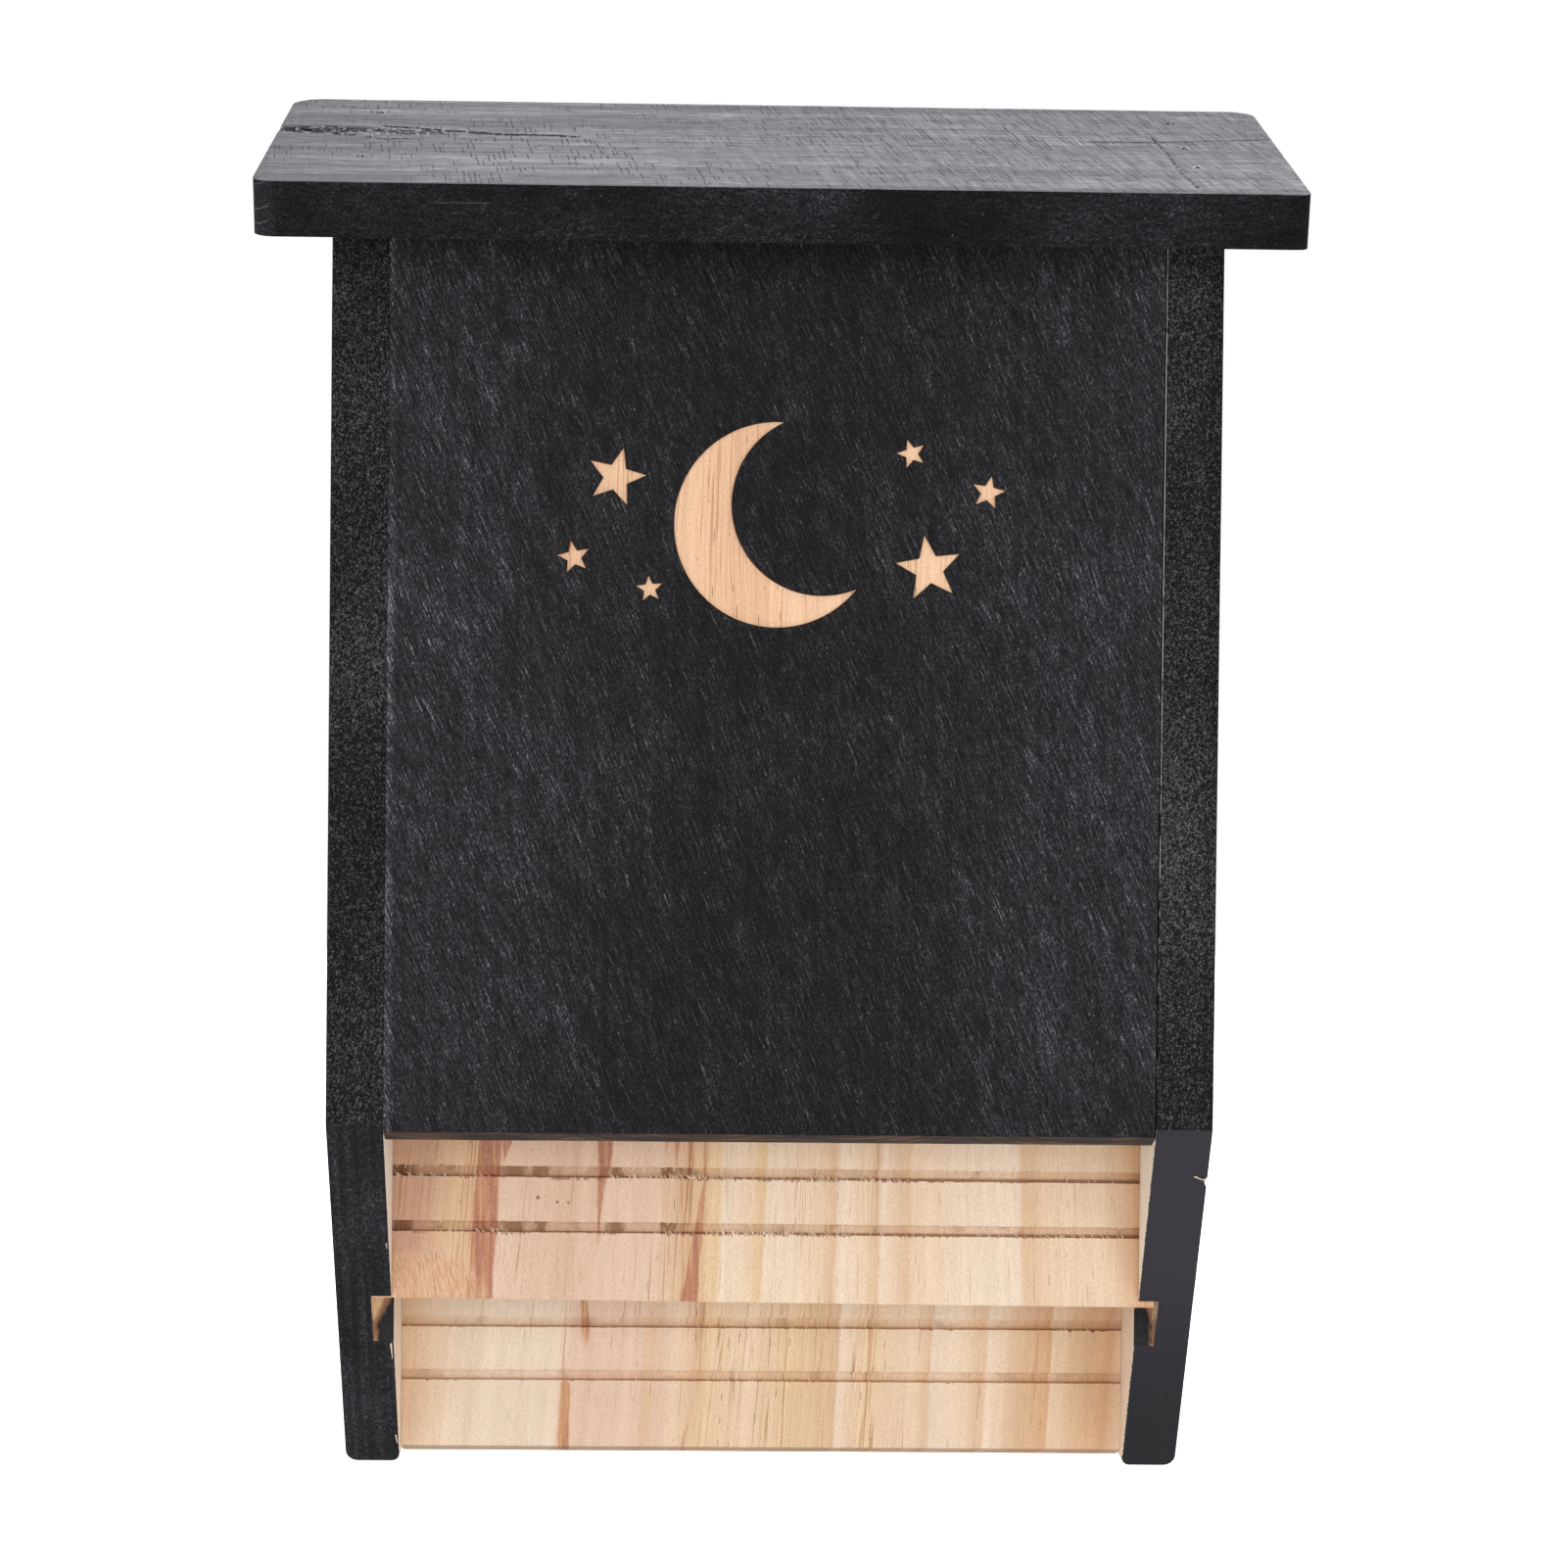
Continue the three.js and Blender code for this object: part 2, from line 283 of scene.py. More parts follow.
# %% [markdown]
# ## Sawing a board
# A joiner draws a board's side view, saws it out and then planes, drills and eases it. The same
# order works here: a few corners become a face, the face is pushed along X, the exact Boolean
# drills it, and a bevel eases its edges. Thin slices come last, where a surface needs relief.


# %% Board helpers
def same(a, b, reach=hair):
    """Whether two places on an axis are one."""
    return abs(a - b) < reach


def pushed(corners, way):
    """A bmesh solid: the face between these corners, pushed along a way."""
    shape = bmesh.new()
    rim = [shape.verts.new(corner) for corner in corners]
    made = bmesh.ops.extrude_face_region(shape, geom=[shape.faces.new(rim)])
    moved = [part for part in made["geom"] if isinstance(part, bmesh.types.BMVert)]
    bmesh.ops.translate(shape, verts=moved, vec=way)
    return shape


def board(corners, low_x, high_x):
    """A bmesh board whose side view is a list of (y, z) corners."""
    shape = pushed([(low_x, y, z) for y, z in corners], (high_x - low_x, 0, 0))
    ends = [face for face in shape.faces if abs(face.normal.x) > 0.9]
    bmesh.ops.triangulate(shape, faces=ends)
    bmesh.ops.recalc_face_normals(shape, faces=shape.faces)
    return shape


def cuboid(low, high):
    """A bmesh block between two corners."""
    shape = bmesh.new()
    low, high = Vector(low), Vector(high)
    place = Matrix.Translation((low + high) / 2) @ Matrix.Diagonal((*(high - low), 1))
    bmesh.ops.create_cube(shape, size=1, matrix=place)
    return shape


def joined(shapes):
    """Several bmeshes as one."""
    whole = bmesh.new()
    for shape in shapes:
        mesh = bpy.data.meshes.new("part")
        shape.to_mesh(mesh)
        shape.free()
        whole.from_mesh(mesh)
        bpy.data.meshes.remove(mesh)
    return whole


def to_object(shape, name):
    mesh = bpy.data.meshes.new(name)
    shape.to_mesh(mesh)
    shape.free()
    made = bpy.data.objects.new(name, mesh)
    bpy.context.scene.collection.objects.link(made)
    return made


def take_out(shape, cutter):
    """What is left of a bmesh after another one is cut out of it."""
    body, tool = to_object(shape, "body"), to_object(cutter, "tool")
    cut = body.modifiers.new("cut", "BOOLEAN")
    cut.operation = "DIFFERENCE"
    cut.solver = "EXACT"
    cut.object = tool
    bpy.context.view_layer.update()
    left = bmesh.new()
    left.from_object(body, bpy.context.evaluated_depsgraph_get())
    for done in (body, tool):
        mesh = done.data
        bpy.data.objects.remove(done)
        bpy.data.meshes.remove(mesh)
    bmesh.ops.remove_doubles(left, verts=left.verts, dist=0.001 * MM)
    return left


# Faces that meet at more than this angle have an arris between them
arris_angle = math.radians(50)


def ease(shape, radius, segments, wanted):
    """Rounds the edges that a test picks."""
    picked = [edge for edge in shape.edges if wanted(edge)]
    bmesh.ops.bevel(
        shape, geom=picked, offset=radius, offset_type="OFFSET", segments=segments,
        profile=0.5, affect="EDGES", clamp_overlap=True, material=-1)


def is_arris(edge, shortest=8 * MM):
    """A long outer corner of a board, and not the rim of a hole."""
    return (
        len(edge.link_faces) == 2 and edge.is_convex and edge.calc_length() > shortest
        and edge.calc_face_angle() > arris_angle)


def slice_up(shape, axis, pitch, low, high, inside=None):
    """Cuts a bmesh with planes across an axis, one each pitch, in all faces or in those picked."""
    across = Vector((axis == 0, axis == 1, axis == 2))
    steps = max(1, round((high - low) / pitch))
    waiting = [face for face in shape.faces if inside is None or inside(face)]
    for step in range(1, steps):
        level = low + (high - low) * step / steps
        waiting = [f for f in waiting if max(v.co[axis] for v in f.verts) > level]
        crossed = {f for f in waiting if min(v.co[axis] for v in f.verts) < level}
        if not crossed:
            continue
        waiting = [f for f in waiting if f not in crossed]
        edges = {e for f in crossed for e in f.edges}
        corners = {v for f in crossed for v in f.verts}
        made = bmesh.ops.bisect_plane(
            shape, geom=[*crossed, *edges, *corners], dist=0.001 * MM,
            plane_co=across * level, plane_no=across)
        waiting += [part for part in made["geom"] if isinstance(part, bmesh.types.BMFace)]


# The middle of a torn fibre lies this share of its length ahead of its root, which sinks its end
# into the wood, and its tip keeps this share of its thickness
fibre_middle = 0.35
fibre_tip = 0.3


def add_fibre(shape, root, ahead, length, thickness):
    """Adds a torn fibre to a bmesh: a thin three-sided cone that points ahead."""
    turn = ahead.to_track_quat("Z", "Y").to_matrix().to_4x4()
    bmesh.ops.create_cone(
        shape, cap_ends=True, segments=3, radius1=thickness, radius2=thickness * fibre_tip,
        depth=length, matrix=Matrix.Translation(root + ahead * (length * fibre_middle)) @ turn)


def marked(shape, finish):
    """The bmesh with one finish on all its faces."""
    for face in shape.faces:
        face.material_index = finish
    return shape


def own_noise(x, y, z):
    """Smooth noise between -1 and 1, the same in each run."""
    return noise.noise(Vector((x, y, z)))


def finished(shape, name, node, slot_name, finishes, pick):
    """The bmesh as a piece of the box: it gets its materials face by face, rides on the body
    and stands for its CAD node."""
    bmesh.ops.remove_doubles(shape, verts=shape.verts, dist=0.002 * MM)
    bmesh.ops.recalc_face_normals(shape, faces=shape.faces)
    shape.normal_update()
    for face in shape.faces:
        face.material_index = pick(face)
        face.smooth = True
    made = to_object(shape, name)
    for finish in finishes:
        made.data.materials.append(finish)
    made.data.set_sharp_from_angle(angle=math.radians(35))
    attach(made, "root")
    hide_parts(node)
    triangles = sum(len(p.vertices) - 2 for p in made.data.polygons)
    print(name, "has", triangles, "triangles and", len(finishes), "finishes")
    return made


print("board helpers ready")

# %% [markdown]
# ## Holes for the brads
# Brads from a nail gun have a small T head. Each is driven half a millimetre below the surface,
# so a slot stays over it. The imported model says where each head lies. The hole is the brad's own
# outline, grown by a small gap.

# %% Brad holes
brad_length = 30 * MM
brad_width = 1.25 * MM
brad_thickness = 1 * MM
brad_head_width = 2 * MM
brad_head_height = 0.8 * MM
brad_gap = 0.3 * MM
roof_out = Vector((0, -math.sin(roof_pitch), math.cos(roof_pitch)))


def brad_head(node, out):
    """The middle of a brad's head, where out points away from the wood."""
    points = [v.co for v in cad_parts[node].data.vertices]
    reach = max(p.dot(out) for p in points)
    tops = [p for p in points if p.dot(out) > reach - hair]
    return Vector((min(p[i] for p in tops) + max(p[i] for p in tops)) / 2 for i in range(3))


def brad_hole(node, out, wide):
    shank = brad_width / 2 + brad_gap
    head = brad_head_width / 2 + brad_gap
    shoulder = -brad_head_height - brad_gap
    thick = brad_thickness / 2 + brad_gap
    outline = [
        (-head, overrun), (-head, shoulder), (-shank, shoulder), (-shank, -brad_length - brad_gap),
        (shank, -brad_length - brad_gap), (shank, shoulder), (head, shoulder), (head, overrun)]
    shape = pushed([(across, -thick, up) for across, up in outline], (0, 2 * thick, 0))
    turn = Matrix((wide, out.cross(wide), out)).transposed().to_4x4()
    bmesh.ops.transform(
        shape, verts=shape.verts, matrix=Matrix.Translation(brad_head(node, out)) @ turn)
    bmesh.ops.recalc_face_normals(shape, faces=shape.faces)
    return shape


def brad_holes(joint, sign):
    """The holes of one joint's brads on one side of the box, -1 for left and 1 for right."""
    hand = "left" if sign < 0 else "right"
    nodes = [n for n in sorted(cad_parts) if n.startswith(f"brad_{joint}_{hand}_")]
    if joint == "roof":
        return [brad_hole(n, roof_out, Vector((1, 0, 0))) for n in nodes]
    return [brad_hole(n, Vector((sign, 0, 0)), Vector((0, 0, 1))) for n in nodes]


print("brads:", len([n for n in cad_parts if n.startswith("brad_")]))

# %% [markdown]
# ## The sides
# Each side is a plank with a slanting cut below the front board and a dado, a groove for the
# partition, in its inner face. On the real box the dado runs out in the slanting cut, which leaves
# a small notch. The feet's lower corners are rounded by sanding, and the front edges stay rough
# from the saw, so they get a finer mesh and a little relief.

# %% Side boards
side_arris = 0.7 * MM
inner_arris = {-1: 0.06 * MM, 1: 0.3 * MM}
foot_outer_round = 3.2 * MM
foot_inner_round = 2.2 * MM
edge_relief = 0.09 * MM
roof_rise = math.tan(roof_pitch)
chip_place = Vector((117, -76.5, -82)) * MM
chip_depth = 0.7 * MM
# Fibres that the saw left hanging on each side board: root in mm, direction, length and thickness
loose_fibres = {
    -1: [
        ((-102, -39.8, -133), (0.04, 0.5, -0.8), 5.5, 0.26),
        ((-101.9, -19.4, -161.6), (0.1, 0.5, -0.8), 3.2, 0.24),
        ((-101.9, -62, -102), (0.15, -0.2, -0.9), 1.6, 0.2)],
    1: [
        ((113.2, -77.9, -80.6), (0.9, 0, -0.35), 4.2, 0.24),
        ((115.2, -77.5, -81.2), (0.7, 0, 0.3), 1.6, 0.2)]}
# A side's finishes, in the order of its material slots
FLAT, EDGE, CUT, DADO, INSIDE, WORN, FIBRE, RAW = range(8)


def side_shape(sign, low, high):
    inner, outer = (low.x, high.x) if sign > 0 else (high.x, low.x)
    shape = board([
        (low.y, low.z + cut_height), (-foot_length, low.z), (0, low.z),
        (0, high.z), (low.y, high.z + low.y * roof_rise)], low.x, high.x)

    def under_foot(edge, at_x):
        return all(same(v.co.z, low.z, MM) and same(v.co.x, at_x, MM) for v in edge.verts)

    ease(shape, foot_outer_round, 5, lambda edge: under_foot(edge, outer))
    ease(shape, foot_inner_round, 4, lambda edge: under_foot(edge, inner))
    mouth, floor = inner - sign * overrun, inner + sign * dado_depth
    dado = cuboid(
        (min(mouth, floor), partition_low.y - dado_play, low.z - overrun),
        (max(mouth, floor), partition_high.y + dado_play, high.z + overrun))
    shape = take_out(shape, dado)
    joints = ("roof", "front", "partition", "back")
    shape = take_out(shape, joined([h for joint in joints for h in brad_holes(joint, sign)]))
    ease(shape, side_arris, 2, lambda edge: is_arris(edge) and all(
        same(v.co.x, outer, 10 * hair) for v in edge.verts))
    ease(shape, inner_arris[sign], 1, lambda edge: is_arris(edge) and all(
        same(v.co.x, inner, 10 * hair) for v in edge.verts))
    slice_up(shape, 2, 2.5 * MM, low.z, high.z)
    slice_up(shape, 2, 0.5 * MM, chip_place.z - 2 * MM, chip_place.z + 2 * MM)
    slice_up(shape, 1, 4 * MM, low.y, 0)
    slice_up(shape, 0, 1.5 * MM, low.x, high.x, lambda face: face.normal.y < -0.9)
    for corner in shape.verts:
        x, y, z = corner.co / MM
        rough = 1 if y < front_low.y / MM + 1 else 0.4
        wave = 0.5 + 0.5 * own_noise(x * 0.09 + 5 * sign, y * 0.07, z * 0.06)
        grit = 0.5 + 0.5 * own_noise(x * 0.9, y * 0.9, z * 0.5 + 30 * sign)
        depth = edge_relief * rough * (0.5 * wave + 0.5 * grit)
        corner.co -= corner.normal * depth
        if sign > 0 and same(corner.co.x, chip_place.x, MM) and y < chip_place.y / MM + 4:
            corner.co.x -= chip_depth * max(0.0, 1 - abs(corner.co.z - chip_place.z) / (1.5 * MM))
    fibres = bmesh.new()
    for root, ahead, length, thickness in loose_fibres[sign]:
        add_fibre(fibres, Vector(root) * MM, Vector(ahead).normalized(), length * MM, thickness * MM)
    print("side", sign, len(shape.faces), "faces")
    return joined([shape, marked(fibres, FIBRE)])


side_shapes = {
    sign: side_shape(sign, *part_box(node)) for sign, node in ((-1, "side_left"), (1, "side_right"))}

# %% [markdown]
# ## The roof
# The roof is one thick plank whose grain runs across the box. Its four corners aren't alike: the
# rear ones are well rounded, the front left one is knocked off, and the front right one is hardly
# eased. A knot with torn grain opens near the rear left corner. Geometry gives it a shallow hollow
# with ridges, so that it catches the light from any side.

# %% Roof board
roof_thickness = 14.2 * MM
roof_arris = 0.8 * MM
roof_low, roof_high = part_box("roof")
roof_length = (-roof_low.y - roof_thickness * math.sin(roof_pitch)) / math.cos(roof_pitch)
roof_place = Matrix.Translation(
    (0, 0, roof_high.z - roof_thickness * math.cos(roof_pitch))) @ Matrix.Rotation(roof_pitch, 4, "X")
corner_rounds = {(1, 0): 7.5 * MM, (-1, 0): 8.5 * MM, (1, -1): 2.6 * MM, (-1, -1): 5.5 * MM}
lower_end_round = 1.8 * MM
brad_sink = 0.5 * MM
raised_fibre_thickness = 0.22 * MM
knot_middle = Vector((-123, -46.5)) * MM
knot_reach = Vector((17, 6)) * MM
knot_depth = 1.1 * MM
check_depth = 0.8 * MM
check_width = 0.9 * MM
# Where the torn grain runs on from the knot, in mm along the roof and down from its rear edge
check_line = [
    (-106, -41), (-99, -43), (-91, -46), (-83, -48), (-74, -50.7), (-60, -51.6), (-54, -53.5)]
knot_lip = [(-133.5, -47.5), (-129, -49.5), (-122, -52), (-113.5, -55)]
torn_patch = [(-110, -47), (-98, -50), (-91, -49)]
torn_ends = [(-108, -61.5), (-98.6, -59)], [(-82, -49.9), (-70, -52.6)]
side_check = [(101.5, -44), (102.6, -56), (103.5, -68), (103.4, -86), (105.8, -113)]
step_line = [(84, -51), (100, -49.8), (118, -46.4), (133, -43.6)]
# The strips of the roof that hold them: two across it, of which the step's is narrower, and one down
torn_strip = (-64, -36)
step_strip = (-56, -40)
check_strip = (99, 108)
ROOF_TOP, ROOF_EDGE, ROOF_FIBRE = range(3)


def distance_to(line, x, y):
    """How far a point lies from a line of (x, y) points, all in mm."""
    spot, best = Vector((x, y)), 1e9
    for start, end in zip(line, line[1:]):
        a, b = Vector(start), Vector(end)
        along = max(0, min(1, (spot - a).dot(b - a) / (b - a).length_squared))
        best = min(best, (spot - a.lerp(b, along)).length)
    return best


def between(value, ends):
    low, high = ends
    return low < value < high


def near_tear(x, y):
    return between(y, torn_strip) or between(x, check_strip)


def in_knot(x, y):
    across = (x - knot_middle.x / MM) / (knot_reach.x / MM)
    down = (y - knot_middle.y / MM) / (knot_reach.y / MM)
    return max(0.0, 1 - across ** 2 - down ** 2) ** 0.5


def torn_share(x, y):
    """How much the grain of the roof's top is torn at a place in mm, from 0 to 1."""
    if not near_tear(x, y):
        return 0.0
    torn = 0.62 * min(1.0, 1.6 * in_knot(x, y))
    for line, share, core, reach in (
        (check_line, 1.0, 0.5, 1.4), (knot_lip, 0.95, 0.4, 1.2), (torn_patch, 0.6, 2.4, 6.0),
        (torn_ends[0], 0.75, 0.5, 1.6), (torn_ends[1], 0.7, 0.6, 2.0),
        (side_check, 0.56, 0.3, 1.1), (step_line, 0.5, 0.2, 1.0),
    ):
        away = distance_to(line, x, y) + 0.4 * own_noise(x * 0.5, y * 0.6, 3)
        torn = max(torn, share * max(0.0, min(1.0, 1 - (away - core) / (reach - core))))
    return torn


def roof_relief(x, y):
    """How deep the roof's top lies below its plane, in metres, at a place in mm."""
    ridges = 0.5 + own_noise(x * 0.22, y * 0.75, 7)
    depth = knot_depth * in_knot(x, y) * max(0.0, 0.1 + 0.9 * ridges)
    loose = max(0.0, 1 - distance_to(torn_patch, x, y) / 6) if near_tear(x, y) else 0.0
    depth += 0.7 * MM * loose * max(0.0, own_noise(x * 0.45, y * 0.8, 23))
    lines = ((check_line, 1), (knot_lip, 0.8), (side_check, 0.35), (step_line, 0.45))
    for line, share in lines if near_tear(x, y) else ():
        away = distance_to(line, x, y) + 0.3 * own_noise(x * 0.5, y * 0.5, 3)
        depth += check_depth * share * max(0.0, 1 - abs(away) / (check_width / MM))
    depth += 0.05 * MM * (1 + own_noise(x * 0.05, y * 0.35, 11))
    return depth + 0.03 * MM * (1 + own_noise(x * 0.55, y * 0.06, 19))


def raised_fibres():
    """Fibres that the nail gun lifted round the roof's brads, as one bmesh."""
    draw = random.Random(12)
    shape = bmesh.new()
    for node in sorted(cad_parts):
        if not node.startswith("brad_roof_"):
            continue
        surface = brad_head(node, roof_out) + roof_out * (brad_sink - 0.1 * MM)
        for _ in range(draw.randint(3, 6)):
            angle = draw.uniform(0, 2 * math.pi)
            root = surface + Vector((1.1 * math.cos(angle), 0.9 * math.sin(angle), 0)) * MM
            root.z += (root.y - surface.y) * roof_rise
            ahead = (roof_out * 0.7 - Vector((math.cos(angle), math.sin(angle), 0))).normalized()
            add_fibre(shape, root, ahead, draw.uniform(0.5, 1.1) * MM, raised_fibre_thickness)
    return marked(shape, ROOF_FIBRE)


def roof_shape():
    """The roof in its own flat frame: X along it, -Y down the slope, Z through it."""
    half = roof_high.x
    shape = cuboid((-half, -roof_length, 0), (half, 0, roof_thickness))
    for (hand, end), radius in corner_rounds.items():
        ease(shape, radius, 6, lambda edge: all(
            same(v.co.x, hand * half) and same(v.co.y, end * roof_length) for v in edge.verts))
    bmesh.ops.transform(shape, verts=shape.verts, matrix=roof_place)
    shape = take_out(shape, joined([*brad_holes("roof", -1), *brad_holes("roof", 1)]))
    bmesh.ops.transform(shape, verts=shape.verts, matrix=roof_place.inverted())
    ease(shape, lower_end_round, 4, lambda edge: is_arris(edge) and all(
        v.co.z < hair and abs(v.co.x) > half - hair for v in edge.verts))
    ease(shape, roof_arris, 2, lambda edge: is_arris(edge, shortest=0.8 * MM) and any(
        abs(abs(f.normal.z) - 1) < 0.01 for f in edge.link_faces) and all(
        min(half - abs(v.co.x), -v.co.y, v.co.y + roof_length) < 9 * MM for v in edge.verts))
    slice_up(shape, 0, 2 * MM, -half, half)
    slice_up(shape, 1, 2 * MM, -roof_length, 0)

    def torn(face):
        x, y = face.calc_center_median().xy / MM
        near_knot = x < -50 and between(y, torn_strip)
        near_check = between(x, check_strip) or (x > 55 and between(y, step_strip))
        return face.normal.z > 0.9 and (near_knot or near_check)

    slice_up(shape, 1, 0.7 * MM, -roof_length, 0, torn)
    slice_up(shape, 0, 0.9 * MM, -half, half, torn)
    tears = shape.verts.layers.float.new("torn")
    for corner in shape.verts:
        x, y, z = corner.co / MM
        if z > roof_thickness / MM - 0.2:
            corner[tears] = torn_share(x, y)
            corner.co.z -= roof_relief(x, y)
        else:
            grit = 0.5 + 0.5 * own_noise(x * 0.4, y * 0.4, z * 0.8)
            corner.co -= corner.normal * edge_relief * grit
    bmesh.ops.transform(shape, verts=shape.verts, matrix=roof_place)
    return joined([shape, raised_fibres()])


roof_board = roof_shape()
print("roof of %.1f by %.1f mm" % (2 * roof_high.x / MM, roof_length / MM))

# %% [markdown]
# ## The front board and its night sky
# A router sinks a crescent moon and six stars 0.8 mm into the black front board, and the bare wood
# shows at the bottom. The moon is what one circle keeps when a smaller one is taken from its side,
# so two arcs draw it. The cutter leaves a thin scorched line at the foot of its walls, made here by
# insetting the floor of each motif.

# %% Carved motifs
carving_depth = 0.8 * MM
carving_width = 120
carving_middle = 260 * MM + feet
moon_radius = 27
moon_hollow_radius = 23.5
moon_hollow_offset = 13
moon_tilt = math.radians(24)
star_points = 5
star_waist_share = 0.42
scorch_width = 0.24 * MM
# Each star: across and up from the middle, its radius as shares of the carving's width, its turn
star_shares = [
    (-0.44, -0.075, 0.042, 0.2), (-0.35, 0.1, 0.071, -0.25), (-0.275, -0.142, 0.035, 0.1),
    (0.292, 0.158, 0.038, 0.3), (0.333, -0.092, 0.079, 0.15), (0.46, 0.075, 0.043, -0.2)]


def upright(outline, low_y, high_y):
    """A solid with an outline of (x, z) corners in front view, from one depth to another."""
    shape = pushed([(x, low_y, z) for x, z in outline], (0, high_y - low_y, 0))
    bmesh.ops.recalc_face_normals(shape, faces=shape.faces)
    return shape


def arc(middle, radius, start, end, steps):
    return [
        (middle[0] + radius * math.cos(start + (end - start) * i / steps),
         middle[1] + radius * math.sin(start + (end - start) * i / steps)) for i in range(steps)]


def moon_outline():
    reach = moon_hollow_offset
    outer = math.acos(
        (reach ** 2 + moon_radius ** 2 - moon_hollow_radius ** 2) / (2 * reach * moon_radius))
    hollow = math.pi - math.acos(
        (reach ** 2 + moon_hollow_radius ** 2 - moon_radius ** 2) / (2 * reach * moon_hollow_radius))
    hollow_middle = (reach * math.cos(moon_tilt), reach * math.sin(moon_tilt))
    full = 2 * math.pi
    return [
        *arc((0, 0), moon_radius, moon_tilt + outer, moon_tilt + full - outer, 56),
        *arc(hollow_middle, moon_hollow_radius, moon_tilt + full - hollow, moon_tilt + hollow, 48)]


def star_outline(across, up, radius, turn):
    corners = []
    for corner in range(2 * star_points):
        angle = turn + math.pi / 2 + corner * math.pi / star_points
        reach = radius * star_waist_share if corner % 2 else radius
        corners.append((
            carving_width * (across + reach * math.cos(angle)),
            carving_width * (up + reach * math.sin(angle))))
    return corners


def motif(outline, front_y):
    placed = [(x * MM, z * MM + carving_middle) for x, z in outline]
    return upright(placed, front_y - overrun, front_y + carving_depth)


motifs = [moon_outline(), *(star_outline(*share) for share in star_shares)]
print(len(motifs), "carved motifs")

# %% [markdown]
# The front board is cut along the roof's slope at its top, and its lower end has the same saw tilt,
# which shows as a thin strip below the black face.

# %% Front board
panel_arris = 0.35 * MM
joint_arris = 0.06 * MM
gap_arris = 0.3 * MM
FACE, CARVED, SCORCHED, SAWN, BARE, GAP_SHADE = range(6)


def front_shape(low, high):
    rise = (high.y - low.y) * roof_rise
    shape = board([
        (low.y, low.z + rise), (high.y, low.z), (high.y, high.z), (low.y, high.z - rise)],
        low.x, high.x)
    shape = take_out(shape, joined([motif(outline, low.y) for outline in motifs]))
    shape = take_out(shape, joined([*brad_holes("front", -1), *brad_holes("front", 1)]))
    for radius, place in ((joint_arris, low.x), (gap_arris, high.x), (panel_arris, None)):
        ease(shape, radius, 2, lambda edge: is_arris(edge, shortest=60 * MM) and all(
            same(v.co.y, low.y) and (place is None or same(v.co.x, place)) for v in edge.verts))
    floors = [
        f for f in shape.faces
        if same(f.calc_center_median().y, low.y + carving_depth) and abs(f.normal.y) > 0.9]
    made = bmesh.ops.inset_region(
        shape, faces=floors, thickness=scorch_width, use_even_offset=True, use_boundary=True)
    rims = set(made["faces"])
    for face in shape.faces:
        middle, out = face.calc_center_median(), face.normal
        walls = middle.y < low.y + carving_depth and abs(out.y) < 0.5 and (
            abs(middle.x) < 0.6 * carving_width * MM) and (
            same(middle.z, carving_middle, 0.3 * carving_width * MM))
        if face in rims or walls:
            face.material_index = SCORCHED
        elif face in floors:
            face.material_index = CARVED
        # Painted shade: the front board's right arris is painted near-black as the shaded joint gap
        elif middle.x > high.x - 0.5 * MM and out.x > 0.2 and middle.y < low.y + 2 * MM:
            face.material_index = GAP_SHADE
        elif out.y < -0.5 or abs(out.x) > 0.5:
            face.material_index = FACE
        elif out.z < -0.5:
            face.material_index = SAWN
        else:
            face.material_index = BARE
    slice_up(shape, 0, 4 * MM, low.x, high.x)
    slice_up(shape, 2, 4 * MM, low.z, high.z)
    for corner in shape.verts:
        x, y, z = corner.co / MM
        if y < low.y / MM + 0.01:
            corner.co.y += 0.05 * MM * (1 + own_noise(x * 0.03, 2, z * 0.02))
        if z < (low.z + rise) / MM + 0.5:
            corner.co.z += 0.08 * MM * (1 + own_noise(x * 0.15, y * 0.1, 8))
    return shape


front_board = front_shape(front_low - tight, front_high + tight)
print("front board", len(front_board.faces), "faces")

# %% [markdown]
# ## The kerfed boards
# Saw kerfs across the partition and the back board give the bats a hold. A saw tears the last
# fibres at a kerf's lips, so the lips are ragged and carry fine pale splinters. The side view with
# its notches is pushed along X, sliced every 0.8 mm, and the vertices on the lips are moved by
# noise. Thin three-sided cones make the splinters. The partition also leans a little in its dados.

# %% Kerf helpers
lip_slice = 0.8 * MM
fibre_thickness = 0.15 * MM
# In the two lowest kerfs the splinters crowd like a comb round these places across
comb_middles = (3 * MM, 17 * MM)
comb_reach = 22 * MM
# A kerfed board's first finish is its pine and its second one is for splinters
SPLINTER = 1


def kerf_levels(foot, top):
    """The lower and upper edge of each kerf, from the lowest one up."""
    levels, low = [], foot + first_kerf
    while low + kerf_width + kerf_top_margin < top:
        levels.append((low, low + kerf_width))
        low += kerf_pitch
    return levels


def notches(face_y, levels):
    """The kerfs as corners of a side view, from the top one down."""
    corners = []
    for low, high in reversed(levels):
        corners += [
            (face_y, high), (face_y + kerf_depth, high), (face_y + kerf_depth, low), (face_y, low)]
    return corners


def tear_lips(shape, face_y, levels, seed):
    """Moves the vertices on the kerfs' lips, so that their edges look torn by the saw."""
    for corner in shape.verts:
        if not same(corner.co.y, face_y):
            continue
        x = corner.co.x / MM
        for row, (low, high) in enumerate(levels):
            for level, pull in ((low, -1), (high, 1)):
                if not same(corner.co.z, level):
                    continue
                patch = max(0.0, own_noise(x * 0.05, row * 3.1 + pull, seed))
                chip = max(0.0, own_noise(x * 1.1, row * 5.3 + pull, seed + 9))
                corner.co.z += pull * (0.05 + 1.5 * patch * chip + 0.35 * chip) * MM
                corner.co.y += 0.12 * MM * chip


